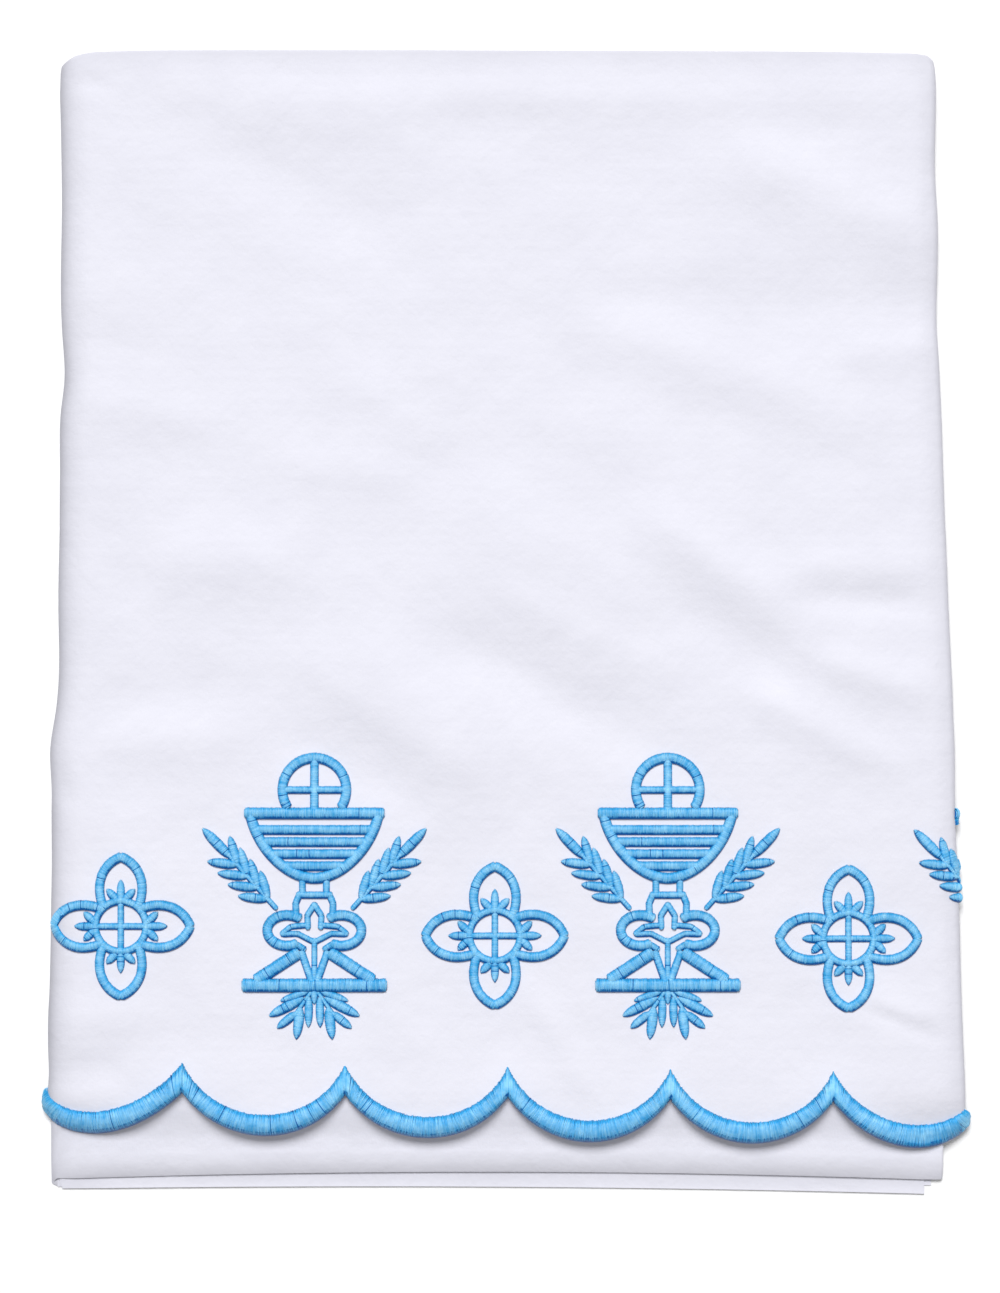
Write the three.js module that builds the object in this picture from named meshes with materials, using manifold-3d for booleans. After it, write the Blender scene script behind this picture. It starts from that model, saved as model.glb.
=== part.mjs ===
// An altar cloth, folded: one white cotton sheet with a scalloped edge and satin-stitch embroidery.
// Millimetres, +Z up. The embroidered front faces up with its scalloped edge towards -Y.
//
// The sheet is folded along its length at the top edge, so a front layer lies on a longer back
// layer. That strip of two layers is then folded across in four panels, top, second, third and
// bottom. The top and second panels meet at the right fold, the second and third at the inner
// left fold, and the top and bottom at the outer left fold, which wraps round the inner one.

import * as THREE from "three";
import { mergeVertices } from "three/addons/utils/BufferGeometryUtils.js";
import Module from "manifold-3d";

// The sheet and the stack of its eight layers
const SHEET = 1.0;
const AIR = 0.4;
const STRIP = 2 * SHEET + AIR;
const STACK = 4 * STRIP + 3 * AIR;
const FRONT = { outer: STRIP, inner: SHEET + AIR };
const BACK = { outer: 0, inner: SHEET };

// Radii of the folds' outsides, for the front layer and for the back layer
const OUTER_LEFT_RADIUS = { front: STACK / 2, back: STACK / 2 - SHEET - AIR };
const RIGHT_RADIUS = { front: AIR / 2 + STRIP, back: AIR / 2 + SHEET };
const INNER_LEFT_SET_IN = { front: 4.8, back: 4.4 };
const RIGHT_FOLD_HEIGHT = 3 * (STRIP + AIR) - AIR / 2;

// Outermost points of the side folds at each height: front layer, then back layer
const SIDE_FOLDS = [
  { y: 232, left: -180.6, right: 173.2, backLeft: -179.0, backRight: 171.6 },
  { y: 222, left: -183.3, right: 173.8, backLeft: -181.7, backRight: 172.2 },
  { y: 190, left: -182.9, right: 174.8, backLeft: -181.3, backRight: 173.2 },
  { y: 165, left: -182.3, right: 176.8, backLeft: -180.7, backRight: 175.0 },
  { y: 122, left: -183.1, right: 176.2, backLeft: -181.4, backRight: 174.4 },
  { y: 100, left: -181.4, right: 177.7, backLeft: -179.8, backRight: 175.6 },
  { y: 60, left: -183.3, right: 179.2, backLeft: -181.5, backRight: 176.6 },
  { y: 15, left: -183.9, right: 181.0, backLeft: -182.2, backRight: 177.6 },
  { y: -33, left: -184.7, right: 183.1, backLeft: -182.8, backRight: 178.4 },
  { y: -52, left: -187.4, right: 183.9, backLeft: -183.8, backRight: 178.6 },
  { y: -76, left: -186.9, right: 184.8, backLeft: -184.6, backRight: 178.8 },
  { y: -120, left: -187.3, right: 186.6, backLeft: -185.5, backRight: 179.0 },
  { y: -160, left: -188.1, right: 187.2, backLeft: -186.5, backRight: 179.0 },
  { y: -200, left: -188.9, right: 188.9, backLeft: -187.5, backRight: 179.0 },
  { y: -236, left: -188.9, right: 188.9, backLeft: -187.5, backRight: 179.0 },
];

// Height of the top fold's outside along the width
const TOP_EDGE = [
  { x: -190, y: 227.0 },
  { x: -180.6, y: 231.6 },
  { x: -164.5, y: 234.2 },
  { x: -41, y: 235.1 },
  { x: 143, y: 233.9 },
  { x: 163, y: 232.9 },
  { x: 173.6, y: 231.8 },
  { x: 178, y: 228.6 },
];

// The four panels: place in the stack, which way the front layer faces, how far the top fold
// stands back, the plain hem's height at the left, middle and right, and the open end's place
const PANELS = {
  top: { rank: 3, up: true, back: 0, hem: [-228.2, -225.4, -228.6] },
  second: { rank: 2, up: false, back: 0.8, hem: [-227.0, -224.6, -227.2] },
  third: { rank: 1, up: true, back: 1.4, hem: [-232.5, -231.8, -235.1], end: [172.8, 176.3] },
  bottom: { rank: 0, up: false, back: 0.6, hem: [-232.0, -231.0, -231.4], end: [175.7, 175.9] },
};
const PLAIN_HEM_SPAN = 180;
const OPEN_END_HEIGHTS = [-200, 190];

// The scalloped edge and its border of satin stitch
const SCALLOP = 66.65;
const CUSP_X = 0.5;
const BORDER_BOTTOM = -210.4;
const BORDER_SLOPE = -0.0137;
const BORDER_WIDTH = 7.8;
const BORDER_OUTER_RISE = 16.4;
const BORDER_INNER_RISE = 19.2;
const CLOTH_MARGIN = 1.1;
const BORDER_CLEARANCE = 1.5;

// Rows of the cloth's surface between the border and the top fold
const LEVELS = [-160, -120, -76, -52, -33, 15, 60, 100, 122, 165, 222];

// Where the back layers settle onto each other past the scalloped edge, settled from 0 to 1
const SETTLING = [
  { y: -215, settled: 0 },
  { y: -219, settled: 0.5 },
  { y: -223, settled: 1 },
];

// Soft waves across the stack, as shares of its height, and the lift of the scalloped edge
const REST_SWELL = 0.045;
const WAVES = [
  { swell: 0.024, length: 230, turn: 62, phase: 40 },
  { swell: 0.018, length: 175, turn: 48, phase: 210 },
  { swell: 0.012, length: 310, turn: 118, phase: 120 },
];
const HEM_LIFT = 1.3;
const HEM_LIFT_REACH = 42;

// The embroidery's height above the cloth, and its own thickness
const STITCH_GAP = 0.4;
const STITCH_RELIEF = 0.8;
const STITCH_WRAP = THREE.MathUtils.degToRad(100);

// Where each motif sits on the front: a chalice by the middle of its host, a cross by its middle
const CHALICES = [
  { name: "chalice_left", x: -78.8, y: -68.1 },
  { name: "chalice_right", x: 65.6, y: -68.1 },
];
const FOLD_CHALICE = { name: "chalice_fold", x: 212.6, y: -68.6 };
const CROSSES = [
  { name: "cross_left", x: -158.9, y: -124.4 },
  { name: "cross_middle", x: -5.4, y: -128.4 },
  { name: "cross_right", x: 139.4, y: -129.6 },
];

const CLOTH_FINISH = { color: 0xf0f0fa, roughness: 0.85, metalness: 0 };
const THREAD_FINISH = { color: 0x3d9be0, roughness: 0.4, metalness: 0 };

const { degToRad, lerp, smoothstep, clamp } = THREE.MathUtils;

const wasm = await Module();
wasm.setup();

// Straight-line value of a table's column between its rows
function tableValue(table, key, at, column) {
  const falling = table[0][key] > table[table.length - 1][key];
  const rows = falling ? [...table].reverse() : table;
  const next = rows.findIndex((row) => row[key] >= at);
  if (next === 0) return rows[0][column];
  if (next < 0) return rows[rows.length - 1][column];
  const before = rows[next - 1];
  const share = (at - before[key]) / (rows[next][key] - before[key]);
  return lerp(before[column], rows[next][column], share);
}

// How much thicker the stack is at a point, as a factor on every height in it
function swellAt(x, y) {
  let swell = 1 + REST_SWELL;
  for (const wave of WAVES) {
    const turn = degToRad(wave.turn);
    const along = x * Math.cos(turn) + y * Math.sin(turn);
    swell += wave.swell * Math.sin((2 * Math.PI * along) / wave.length + degToRad(wave.phase));
  }
  return swell;
}

// The scalloped edge stands a little off the layers under it, but not at the side folds
function liftAt(x, y) {
  const share = smoothstep(BORDER_BOTTOM + HEM_LIFT_REACH - y, 0, HEM_LIFT_REACH);
  const inside = 1 - smoothstep(Math.abs(x), 120, 178);
  return HEM_LIFT * share * inside;
}

// Middle of each fold's round at a height of the cloth
function outerLeftMiddle(y, layer) {
  const column = layer === "front" ? "left" : "backLeft";
  return tableValue(SIDE_FOLDS, "y", y, column) + OUTER_LEFT_RADIUS[layer];
}

function innerLeftMiddle(y, layer) {
  return tableValue(SIDE_FOLDS, "y", y, "backLeft") + INNER_LEFT_SET_IN[layer];
}

function rightMiddle(y, layer) {
  const column = layer === "front" ? "right" : "backRight";
  return tableValue(SIDE_FOLDS, "y", y, column) - RIGHT_RADIUS[layer];
}

function openEnd(panel, y) {
  const [low, high] = OPEN_END_HEIGHTS;
  const share = clamp((y - low) / (high - low), 0, 1);
  return lerp(panel.end[0], panel.end[1], share);
}

// Left and right limits of a panel's flat part
function panelLimits(name, y, layer) {
  if (name === "top") return [outerLeftMiddle(y, layer), rightMiddle(y, layer)];
  if (name === "second") return [innerLeftMiddle(y, layer), rightMiddle(y, layer)];
  if (name === "third") return [innerLeftMiddle(y, layer), openEnd(PANELS.third, y)];
  return [outerLeftMiddle(y, layer), openEnd(PANELS.bottom, y)];
}

// Height of a face of the sheet in a panel, before the swell. Past the scalloped edge the back
// layers settle onto each other, and settled is 1 where they have.
function panelHeight(name, depth, settled) {
  const { rank, up } = PANELS[name];
  const stacked = rank * (STRIP + AIR) + (up ? depth : STRIP - depth);
  const alone = rank * (SHEET + AIR) + (up ? depth : SHEET - depth);
  return lerp(stacked, alone, settled);
}

// The strip's way through the stack, from the bottom panel's open end to the third panel's
const REFERENCE_Y = -200;
const WAY = [
  { panel: "bottom", leftward: true },
  { fold: outerLeftMiddle, side: -1, over: "top", under: "bottom", rising: true, steps: 6 },
  { panel: "top" },
  { fold: rightMiddle, side: 1, over: "top", under: "second", steps: 4 },
  { panel: "second", leftward: true },
  { fold: innerLeftMiddle, side: -1, over: "second", under: "third", steps: 4 },
  { panel: "third" },
];
const FOLD_LENGTHS = {
  top: Math.PI * (OUTER_LEFT_RADIUS.front - SHEET / 2),
  right: Math.PI * (RIGHT_RADIUS.front - SHEET / 2),
  inner: Math.PI * (AIR / 2 + SHEET / 2),
};

// Which scallop position a place in a panel has: 0 at its lowest point, -1 and 1 at its cusps
function scallopPlace(unfolded) {
  const turns = (unfolded - CUSP_X) / SCALLOP;
  return 2 * (turns - Math.floor(turns)) - 1;
}

function arcRise(place, rise) {
  const half = SCALLOP / 2;
  const radius = (half * half + rise * rise) / (2 * rise);
  return radius - Math.sqrt(radius * radius - (half * place) ** 2);
}

function borderOuter(x, unfolded) {
  return BORDER_BOTTOM + BORDER_SLOPE * x + arcRise(scallopPlace(unfolded), BORDER_OUTER_RISE);
}

function borderInner(x, unfolded) {
  const bottom = BORDER_BOTTOM + BORDER_SLOPE * x + BORDER_WIDTH;
  return bottom + arcRise(scallopPlace(unfolded), BORDER_INNER_RISE);
}

// Distance along the scalloped edge from the top panel's x = 0, for a place in a panel
function unfoldedPlace(name, x) {
  const [topLeft, topRight] = panelLimits("top", REFERENCE_Y, "front");
  const secondLeft = innerLeftMiddle(REFERENCE_Y, "front");
  const secondEnd = topRight + FOLD_LENGTHS.right + topRight - secondLeft;
  if (name === "bottom") return topLeft - FOLD_LENGTHS.top - (x - topLeft);
  if (name === "second") return topRight + FOLD_LENGTHS.right + (topRight - x);
  if (name === "third") return secondEnd + FOLD_LENGTHS.inner + (x - secondLeft);
  return x;
}

// Columns of the mesh: fine ones follow the scallops, and the coarse ones among them carry on up
function makeColumns() {
  const columns = [];
  for (const part of WAY) {
    if (part.fold) {
      for (let step = 1; step < part.steps; step++) {
        const share = part.rising ? 1 - step / part.steps : step / part.steps;
        columns.push({ ...part, angle: Math.PI * share, coarse: true });
      }
      continue;
    }
    const [left, right] = panelLimits(part.panel, REFERENCE_Y, "front");
    const perScallop = part.panel === "top" ? 8 : 4;
    const coarseEvery = part.panel === "top" ? 5 : 3;
    const step = SCALLOP / perScallop;
    const ends = [unfoldedPlace(part.panel, left), unfoldedPlace(part.panel, right)];
    const first = Math.ceil((Math.min(...ends) + 2 - CUSP_X) / step);
    const last = Math.floor((Math.max(...ends) - 2 - CUSP_X) / step);
    const inner = [];
    for (let count = first; count <= last; count++) {
      const share = (CUSP_X + count * step - ends[0]) / (ends[1] - ends[0]);
      const coarse = (count - first) % coarseEvery === coarseEvery - 2;
      inner.push({ ...part, share, coarse });
    }
    inner.sort((a, b) => (part.leftward ? b.share - a.share : a.share - b.share));
    const start = { ...part, share: part.leftward ? 1 : 0, coarse: true };
    const end = { ...part, share: part.leftward ? 0 : 1, coarse: true };
    columns.push(start, ...inner, end);
  }
  return columns;
}

// Rows of the mesh round the section: front layer upwards, top fold, back layer downwards
const TOP_FOLD_STEPS = 4;

function makeRows() {
  const rows = [{ kind: "scallops" }, { kind: "border" }];
  for (const y of LEVELS) rows.push({ kind: "level", layer: "front", y });
  for (let step = 0; step <= TOP_FOLD_STEPS; step++) {
    rows.push({ kind: "turn", angle: (Math.PI * step) / TOP_FOLD_STEPS });
  }
  for (const y of [...LEVELS].reverse()) rows.push({ kind: "level", layer: "back", y });
  for (const { y, settled } of SETTLING) rows.push({ kind: "level", layer: "back", y, settled });
  rows.push({ kind: "plainHem" });
  return rows;
}

// What differs between a column's panels, mixed through its fold
function mixed(column, valueOf) {
  if (column.panel) return valueOf(column.panel);
  return lerp(valueOf(column.over), valueOf(column.under), column.angle / Math.PI);
}

// A point at a column, a height y and a depth in the strip
function stackPoint(column, y, layer, depth, settled = 0, fixedY = y) {
  if (column.panel) {
    const [left, right] = panelLimits(column.panel, fixedY, layer);
    const x = lerp(left, right, column.share);
    const lifted = column.panel === "top" && layer === "front" ? liftAt(x, y) : 0;
    const z = panelHeight(column.panel, depth, settled) * swellAt(x, y) + lifted;
    return new THREE.Vector3(x, y, z);
  }
  const over = panelHeight(column.over, depth, settled);
  const under = panelHeight(column.under, depth, settled);
  const radius = (over - under) / 2;
  const x = column.fold(fixedY, layer) + column.side * radius * Math.sin(column.angle);
  const z = ((over + under) / 2 + radius * Math.cos(column.angle)) * swellAt(x, y);
  return new THREE.Vector3(x, y, z);
}

function columnPlace(column) {
  if (column.panel) {
    const [left, right] = panelLimits(column.panel, REFERENCE_Y, "front");
    return unfoldedPlace(column.panel, lerp(left, right, column.share));
  }
  const middle = column.fold(REFERENCE_Y, "front");
  return mixed(column, (name) => unfoldedPlace(name, middle));
}

function plainHem(name, x) {
  const [left, middle, right] = PANELS[name].hem;
  const share = clamp(x / PLAIN_HEM_SPAN, -1, 1);
  const tilt = (right - left) / 2;
  const bow = (left + right) / 2 - middle;
  return middle + tilt * share + bow * share * share;
}

// A point of the sheet's outer or inner face, outer being the embroidered side of the front
function clothPoint(row, column, face) {
  if (row.kind === "scallops" || row.kind === "border") {
    const flat = stackPoint(column, REFERENCE_Y, "front", FRONT[face]);
    const place = columnPlace(column);
    const outer = borderOuter(flat.x, place) - CLOTH_MARGIN;
    const inner = borderInner(flat.x, place) + BORDER_CLEARANCE;
    const y = row.kind === "scallops" ? outer : inner;
    return stackPoint(column, y, "front", FRONT[face], 0, REFERENCE_Y);
  }
  if (row.kind === "level") {
    const depth = row.layer === "front" ? FRONT[face] : BACK[face];
    return stackPoint(column, row.y, row.layer, depth, row.settled);
  }
  if (row.kind === "turn") {
    const highest = LEVELS[LEVELS.length - 1];
    const x = stackPoint(column, highest, "front", STRIP / 2).x;
    const edge = tableValue(TOP_EDGE, "x", x, "y") - mixed(column, (name) => PANELS[name].back);
    const radius = face === "outer" ? STRIP / 2 : AIR / 2;
    const y = edge - STRIP / 2 + radius * Math.sin(row.angle);
    const layer = row.angle < Math.PI / 2 ? "front" : "back";
    return stackPoint(column, y, layer, STRIP / 2 + radius * Math.cos(row.angle));
  }
  const x = stackPoint(column, REFERENCE_Y, "back", BACK[face]).x;
  const y = mixed(column, (name) => plainHem(name, x));
  return stackPoint(column, y, "back", BACK[face], 1);
}

// The folded sheet: a closed section of rows swept along the columns
function makeCloth() {
  const rows = makeRows();
  const fine = makeColumns();
  const coarse = fine.filter((column) => column.coarse);
  const positions = [];
  const triangles = [];
  const grid = { outer: [], inner: [] };

  for (const face of ["outer", "inner"]) {
    rows.forEach((row, index) => {
      const columns = index < 2 ? fine : coarse;
      grid[face].push(columns.map((column) => {
        positions.push(...clothPoint(row, column, face));
        return positions.length / 3 - 1;
      }));
    });
  }

  const quad = (a, b, c, d) => triangles.push(a, b, c, a, c, d);
  const crossQuad = (a, b, c, d) => triangles.push(a, b, d, b, c, d);

  // A band between two rows that share their columns. The diagonals lie the same way in every
  // layer of the stack, so that neighbouring layers keep their distance.
  const band = (low, high, columns, turned, backLayer) => {
    for (let i = 0; i + 1 < columns.length; i++) {
      const corners = [low[i], low[i + 1], high[i + 1], high[i]];
      if (turned) corners.reverse();
      const split = Boolean(columns[i].leftward) !== backLayer;
      (split !== turned ? crossQuad : quad)(...corners);
    }
  };

  // A band from the fine row of the border to the first coarse row
  const fan = (low, high, turned) => {
    const add = (a, b, c) => (turned ? triangles.push(c, b, a) : triangles.push(a, b, c));
    let above = 0;
    for (let i = 0; i + 1 < fine.length; i++) {
      const nextCoarse = coarse.indexOf(fine[i + 1]);
      const reached = nextCoarse > above;
      const start = fine.indexOf(coarse[above]);
      const end = fine.indexOf(coarse[above + 1]);
      const past = i - start >= Math.floor((end - start) / 2);
      if (i - start === Math.floor((end - start) / 2)) add(high[above], low[i], high[above + 1]);
      add(low[i], low[i + 1], past ? high[above + 1] : high[above]);
      if (reached) above = nextCoarse;
    }
  };

  const last = rows.length - 1;
  for (const face of ["outer", "inner"]) {
    const turned = face === "inner";
    const faceGrid = grid[face];
    band(faceGrid[0], faceGrid[1], fine, turned, false);
    fan(faceGrid[1], faceGrid[2], turned);
    for (let j = 2; j < last; j++) {
      const backLayer = rows[j].kind !== "level" || rows[j].layer === "back";
      band(faceGrid[j], faceGrid[j + 1], coarse, turned, backLayer);
    }
  }
  band(grid.inner[0], grid.outer[0], fine, false, false);
  band(grid.outer[last], grid.inner[last], coarse, false, false);
  for (let j = 0; j < last; j++) {
    const at = (face, row, end) => grid[face][row][end ? grid[face][row].length - 1 : 0];
    quad(at("outer", j), at("outer", j + 1), at("inner", j + 1), at("inner", j));
    quad(at("inner", j, 1), at("inner", j + 1, 1), at("outer", j + 1, 1), at("outer", j, 1));
  }

  const geometry = new THREE.BufferGeometry();
  geometry.setAttribute("position", new THREE.Float32BufferAttribute(positions, 3));
  geometry.setIndex(triangles);
  return finished("cloth", geometry, CLOTH_FINISH);
}

// A point at a height above the front of the top panel, round its side folds where x passes them
function drape(x, y, height) {
  const left = outerLeftMiddle(y, "front");
  const right = rightMiddle(y, "front");
  if (x < left) {
    const radius = OUTER_LEFT_RADIUS.front;
    const angle = (left - x) / radius;
    const outX = left - (radius + height) * Math.sin(angle);
    const z = STACK / 2 + (radius + height) * Math.cos(angle);
    return new THREE.Vector3(outX, y, z * swellAt(outX, y));
  }
  if (x > right) {
    const radius = RIGHT_RADIUS.front;
    const angle = (x - right) / radius;
    const outX = right + (radius + height) * Math.sin(angle);
    const z = RIGHT_FOLD_HEIGHT + (radius + height) * Math.cos(angle);
    return new THREE.Vector3(outX, y, z * swellAt(outX, y));
  }
  return new THREE.Vector3(x, y, (STACK + height) * swellAt(x, y) + liftAt(x, y));
}

// How flat shapes are prepared to follow the cloth: points joined in flat faces, long edges cut
const FLAT_TOLERANCE = 0.005;
const LONGEST_EDGE = 30;
const LONGEST_AT_FOLD = 3;

function edgeLimit(a, b) {
  const overFold = (x, y) => x < outerLeftMiddle(y, "front") || x > rightMiddle(y, "front");
  const across = Math.abs(a.x - b.x) > Math.abs(a.y - b.y) / 2;
  return across && (overFold(a.x, a.y) || overFold(b.x, b.y)) ? LONGEST_AT_FOLD : LONGEST_EDGE;
}

function cutLongEdges(points, triangles) {
  let current = triangles;
  for (let changed = true; changed; ) {
    changed = false;
    const middles = new Map();
    const middle = (i, j) => {
      const key = i < j ? `${i} ${j}` : `${j} ${i}`;
      if (!middles.has(key)) {
        const [a, b] = [points[i], points[j]];
        const long = a.distanceTo(b) > edgeLimit(a, b);
        middles.set(key, long ? points.push(a.clone().lerp(b, 0.5)) - 1 : -1);
      }
      return middles.get(key);
    };
    const next = [];
    for (const [a, b, c] of current) {
      const cuts = [middle(a, b), middle(b, c), middle(c, a)];
      const count = cuts.filter((cut) => cut >= 0).length;
      changed = changed || count > 0;
      if (count === 0) next.push([a, b, c]);
      if (count === 3) {
        next.push([a, cuts[0], cuts[2]], [cuts[0], b, cuts[1]], [cuts[2], cuts[1], c], cuts);
      }
      if (count === 1 || count === 2) {
        // Turned so that the first edge is cut, and the third isn't where two are
        const turn = count === 1 ? cuts.findIndex((cut) => cut >= 0) : (cuts.indexOf(-1) + 1) % 3;
        const [p, q, r] = [0, 1, 2].map((k) => [a, b, c][(k + turn) % 3]);
        const [first, second] = [cuts[turn], cuts[(turn + 1) % 3]];
        if (count === 1) next.push([p, first, r], [first, q, r]);
        else next.push([p, first, r], [first, second, r], [first, q, second]);
      }
    }
    current = next;
  }
  return current;
}

function finished(name, geometry, finish) {
  geometry.computeVertexNormals();
  const mesh = new THREE.Mesh(geometry, new THREE.MeshStandardMaterial(finish));
  mesh.name = name;
  return mesh;
}

// Embroidery is drawn flat as outlines, joined, and laid on the cloth
function solidOf(geometry) {
  const bare = geometry.index ? geometry.toNonIndexed() : geometry.clone();
  bare.deleteAttribute("normal");
  bare.deleteAttribute("uv");
  const merged = mergeVertices(bare, 1e-4);
  return new wasm.Manifold(new wasm.Mesh({
    numProp: 3,
    vertProperties: new Float32Array(merged.attributes.position.array),
    triVerts: new Uint32Array(merged.index.array),
  }));
}

function layOnCloth(name, outlines, origin, keepUpTo = Infinity) {
  let solid = null;
  for (const outline of outlines) {
    const shape = new THREE.Shape(outline.outer);
    if (outline.hole) shape.holes.push(new THREE.Path(outline.hole));
    const flat = new THREE.ExtrudeGeometry(shape, { depth: STITCH_RELIEF, bevelEnabled: false });
    flat.translate(origin.x, origin.y, 0);
    const piece = solidOf(flat);
    solid = solid ? solid.add(piece) : piece;
  }
  if (keepUpTo < Infinity) {
    const beyond = new THREE.BoxGeometry(200, 200, 10);
    beyond.translate(keepUpTo + 100, origin.y, 0);
    solid = solid.subtract(solidOf(beyond));
  }
  // Joining leaves needless points inside the flat faces
  const { vertProperties, triVerts } = solid.asOriginal().simplify(FLAT_TOLERANCE).getMesh();
  const points = [];
  for (let i = 0; i < vertProperties.length; i += 3) {
    points.push(new THREE.Vector3(...vertProperties.slice(i, i + 3)));
  }
  const triangles = [];
  for (let i = 0; i < triVerts.length; i += 3) triangles.push([...triVerts.slice(i, i + 3)]);
  const cut = cutLongEdges(points, triangles);
  const laid = points.flatMap((p) => [...drape(p.x, p.y, STITCH_GAP + p.z)]);
  const geometry = new THREE.BufferGeometry();
  geometry.setAttribute("position", new THREE.Float32BufferAttribute(laid, 3));
  geometry.setIndex(cut.flat());
  return finished(name, geometry, THREAD_FINISH);
}

// Outline of a line of satin stitch of even width along a path of points
function satinLine(points, width) {
  const path = points.map(([x, y]) => new THREE.Vector2(x, y));
  const left = [];
  const right = [];
  path.forEach((point, i) => {
    const before = path[Math.max(i - 1, 0)];
    const after = path[Math.min(i + 1, path.length - 1)];
    const into = point.clone().sub(before).normalize();
    const out = after.clone().sub(point).normalize();
    const along = into.add(out).normalize();
    const step = i === 0 || i === path.length - 1 ? along : after.clone().sub(point).normalize();
    const stretch = 1 / Math.max(along.dot(step), 0.6);
    const side = new THREE.Vector2(-along.y, along.x).multiplyScalar((width / 2) * stretch);
    left.push(point.clone().add(side));
    right.push(point.clone().sub(side));
  });
  return { outer: [...right, ...left.reverse()] };
}

function arcPoints(middleX, middleY, radiusX, radiusY, from, to, steps) {
  const points = [];
  for (let step = 0; step <= steps; step++) {
    const angle = degToRad(lerp(from, to, step / steps));
    points.push([middleX + radiusX * Math.cos(angle), middleY + radiusY * Math.sin(angle)]);
  }
  return points;
}

function curveThrough(corners) {
  return new THREE.CubicBezierCurve(...corners.map(([x, y]) => new THREE.Vector2(x, y)));
}

function curvePoints(corners, steps) {
  return curveThrough(corners).getPoints(steps).map((point) => [point.x, point.y]);
}

function satinRing(radius, width, steps) {
  const ring = (r) => arcPoints(0, 0, r, r, 0, 360 - 360 / steps, steps - 1)
    .map(([x, y]) => new THREE.Vector2(x, y));
  return { outer: ring(radius + width / 2), hole: ring(radius - width / 2) };
}

// A leaf of satin stitch, blunt where it grows and pointed at its tip
const LEAF_OUTLINE = [
  { along: 0, half: 0.4 },
  { along: 0.35, half: 1 },
  { along: 0.8, half: 0.75 },
];

function leaf(baseX, baseY, angle, length, width) {
  const along = new THREE.Vector2(Math.cos(degToRad(angle)), Math.sin(degToRad(angle)));
  const side = new THREE.Vector2(-along.y, along.x);
  const at = (share, half) => new THREE.Vector2(baseX, baseY)
    .addScaledVector(along, share * length)
    .addScaledVector(side, (half * width) / 2);
  const right = LEAF_OUTLINE.map((row) => at(row.along, -row.half));
  const left = LEAF_OUTLINE.map((row) => at(row.along, row.half)).reverse();
  return { outer: [...right, at(1, 0), ...left] };
}

function mirrored(outline) {
  const flip = (points) => points?.map((p) => new THREE.Vector2(-p.x, p.y)).reverse();
  return { outer: flip(outline.outer), hole: flip(outline.hole) };
}

function bothSides(outlines) {
  return [...outlines, ...outlines.map(mirrored)];
}

// The chalice, from the middle of its host: sizes in its own frame
const HOST = { radius: 13.1, stroke: 4.1, from: -34, to: 214 };
const RIM = { y: -9.6, half: 28.5, stroke: 4.6 };
const BOWL = { stroke: 4.4, corners: [[-26.3, -10.0], [-23.6, -23.5], [-11.5, -36.2], [0, -36.2]] };
const BANDS = { first: -16.4, step: -4.95, count: 4, stroke: 3.6 };
const COLLAR = { y: -43.1, half: 7.2, stroke: 2.8 };
const POST = { x: 4.9, stroke: 2.9 };
const OVAL = { x: 11.2, y: -57.6, radiusX: 8.1, radiusY: 6.3, stroke: 4.1, from: 48, to: 302 };
const FOOT_BAR = { y: -80.1, half: 29.5, stroke: 5.4 };
const STEM = { stroke: 2.5, top: -61.0 };

// Leaves of the spray under the foot, on the left half
const SPRAY = [
  { x: -2.6, y: -82.6, angle: 199, length: 11.6, width: 2.9 },
  { x: -4.6, y: -85.3, angle: 208, length: 15.4, width: 3.8 },
  { x: -7.4, y: -91.8, angle: 219, length: 10.4, width: 3.1 },
  { x: -5.6, y: -89.2, angle: 262, length: 13.2, width: 3.9 },
  { x: -2.2, y: -85.0, angle: 269, length: 12.4, width: 3.2 },
];

// Half the bowl's width at a height, from its middle line
function bowlHalf(y) {
  const side = curveThrough(BOWL.corners);
  let low = 0;
  let high = 1;
  for (let step = 0; step < 30; step++) {
    const share = (low + high) / 2;
    if (side.getPoint(share).y > y) low = share;
    else high = share;
  }
  return -side.getPoint(low).x;
}

function chaliceBowl() {
  const side = curvePoints(BOWL.corners, 6);
  const otherSide = side.slice(0, -1).map(([x, y]) => [-x, y]).reverse();
  const rim = satinLine([[-RIM.half, RIM.y], [RIM.half, RIM.y]], RIM.stroke);
  return [rim, satinLine([...side, ...otherSide], BOWL.stroke)];
}

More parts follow.
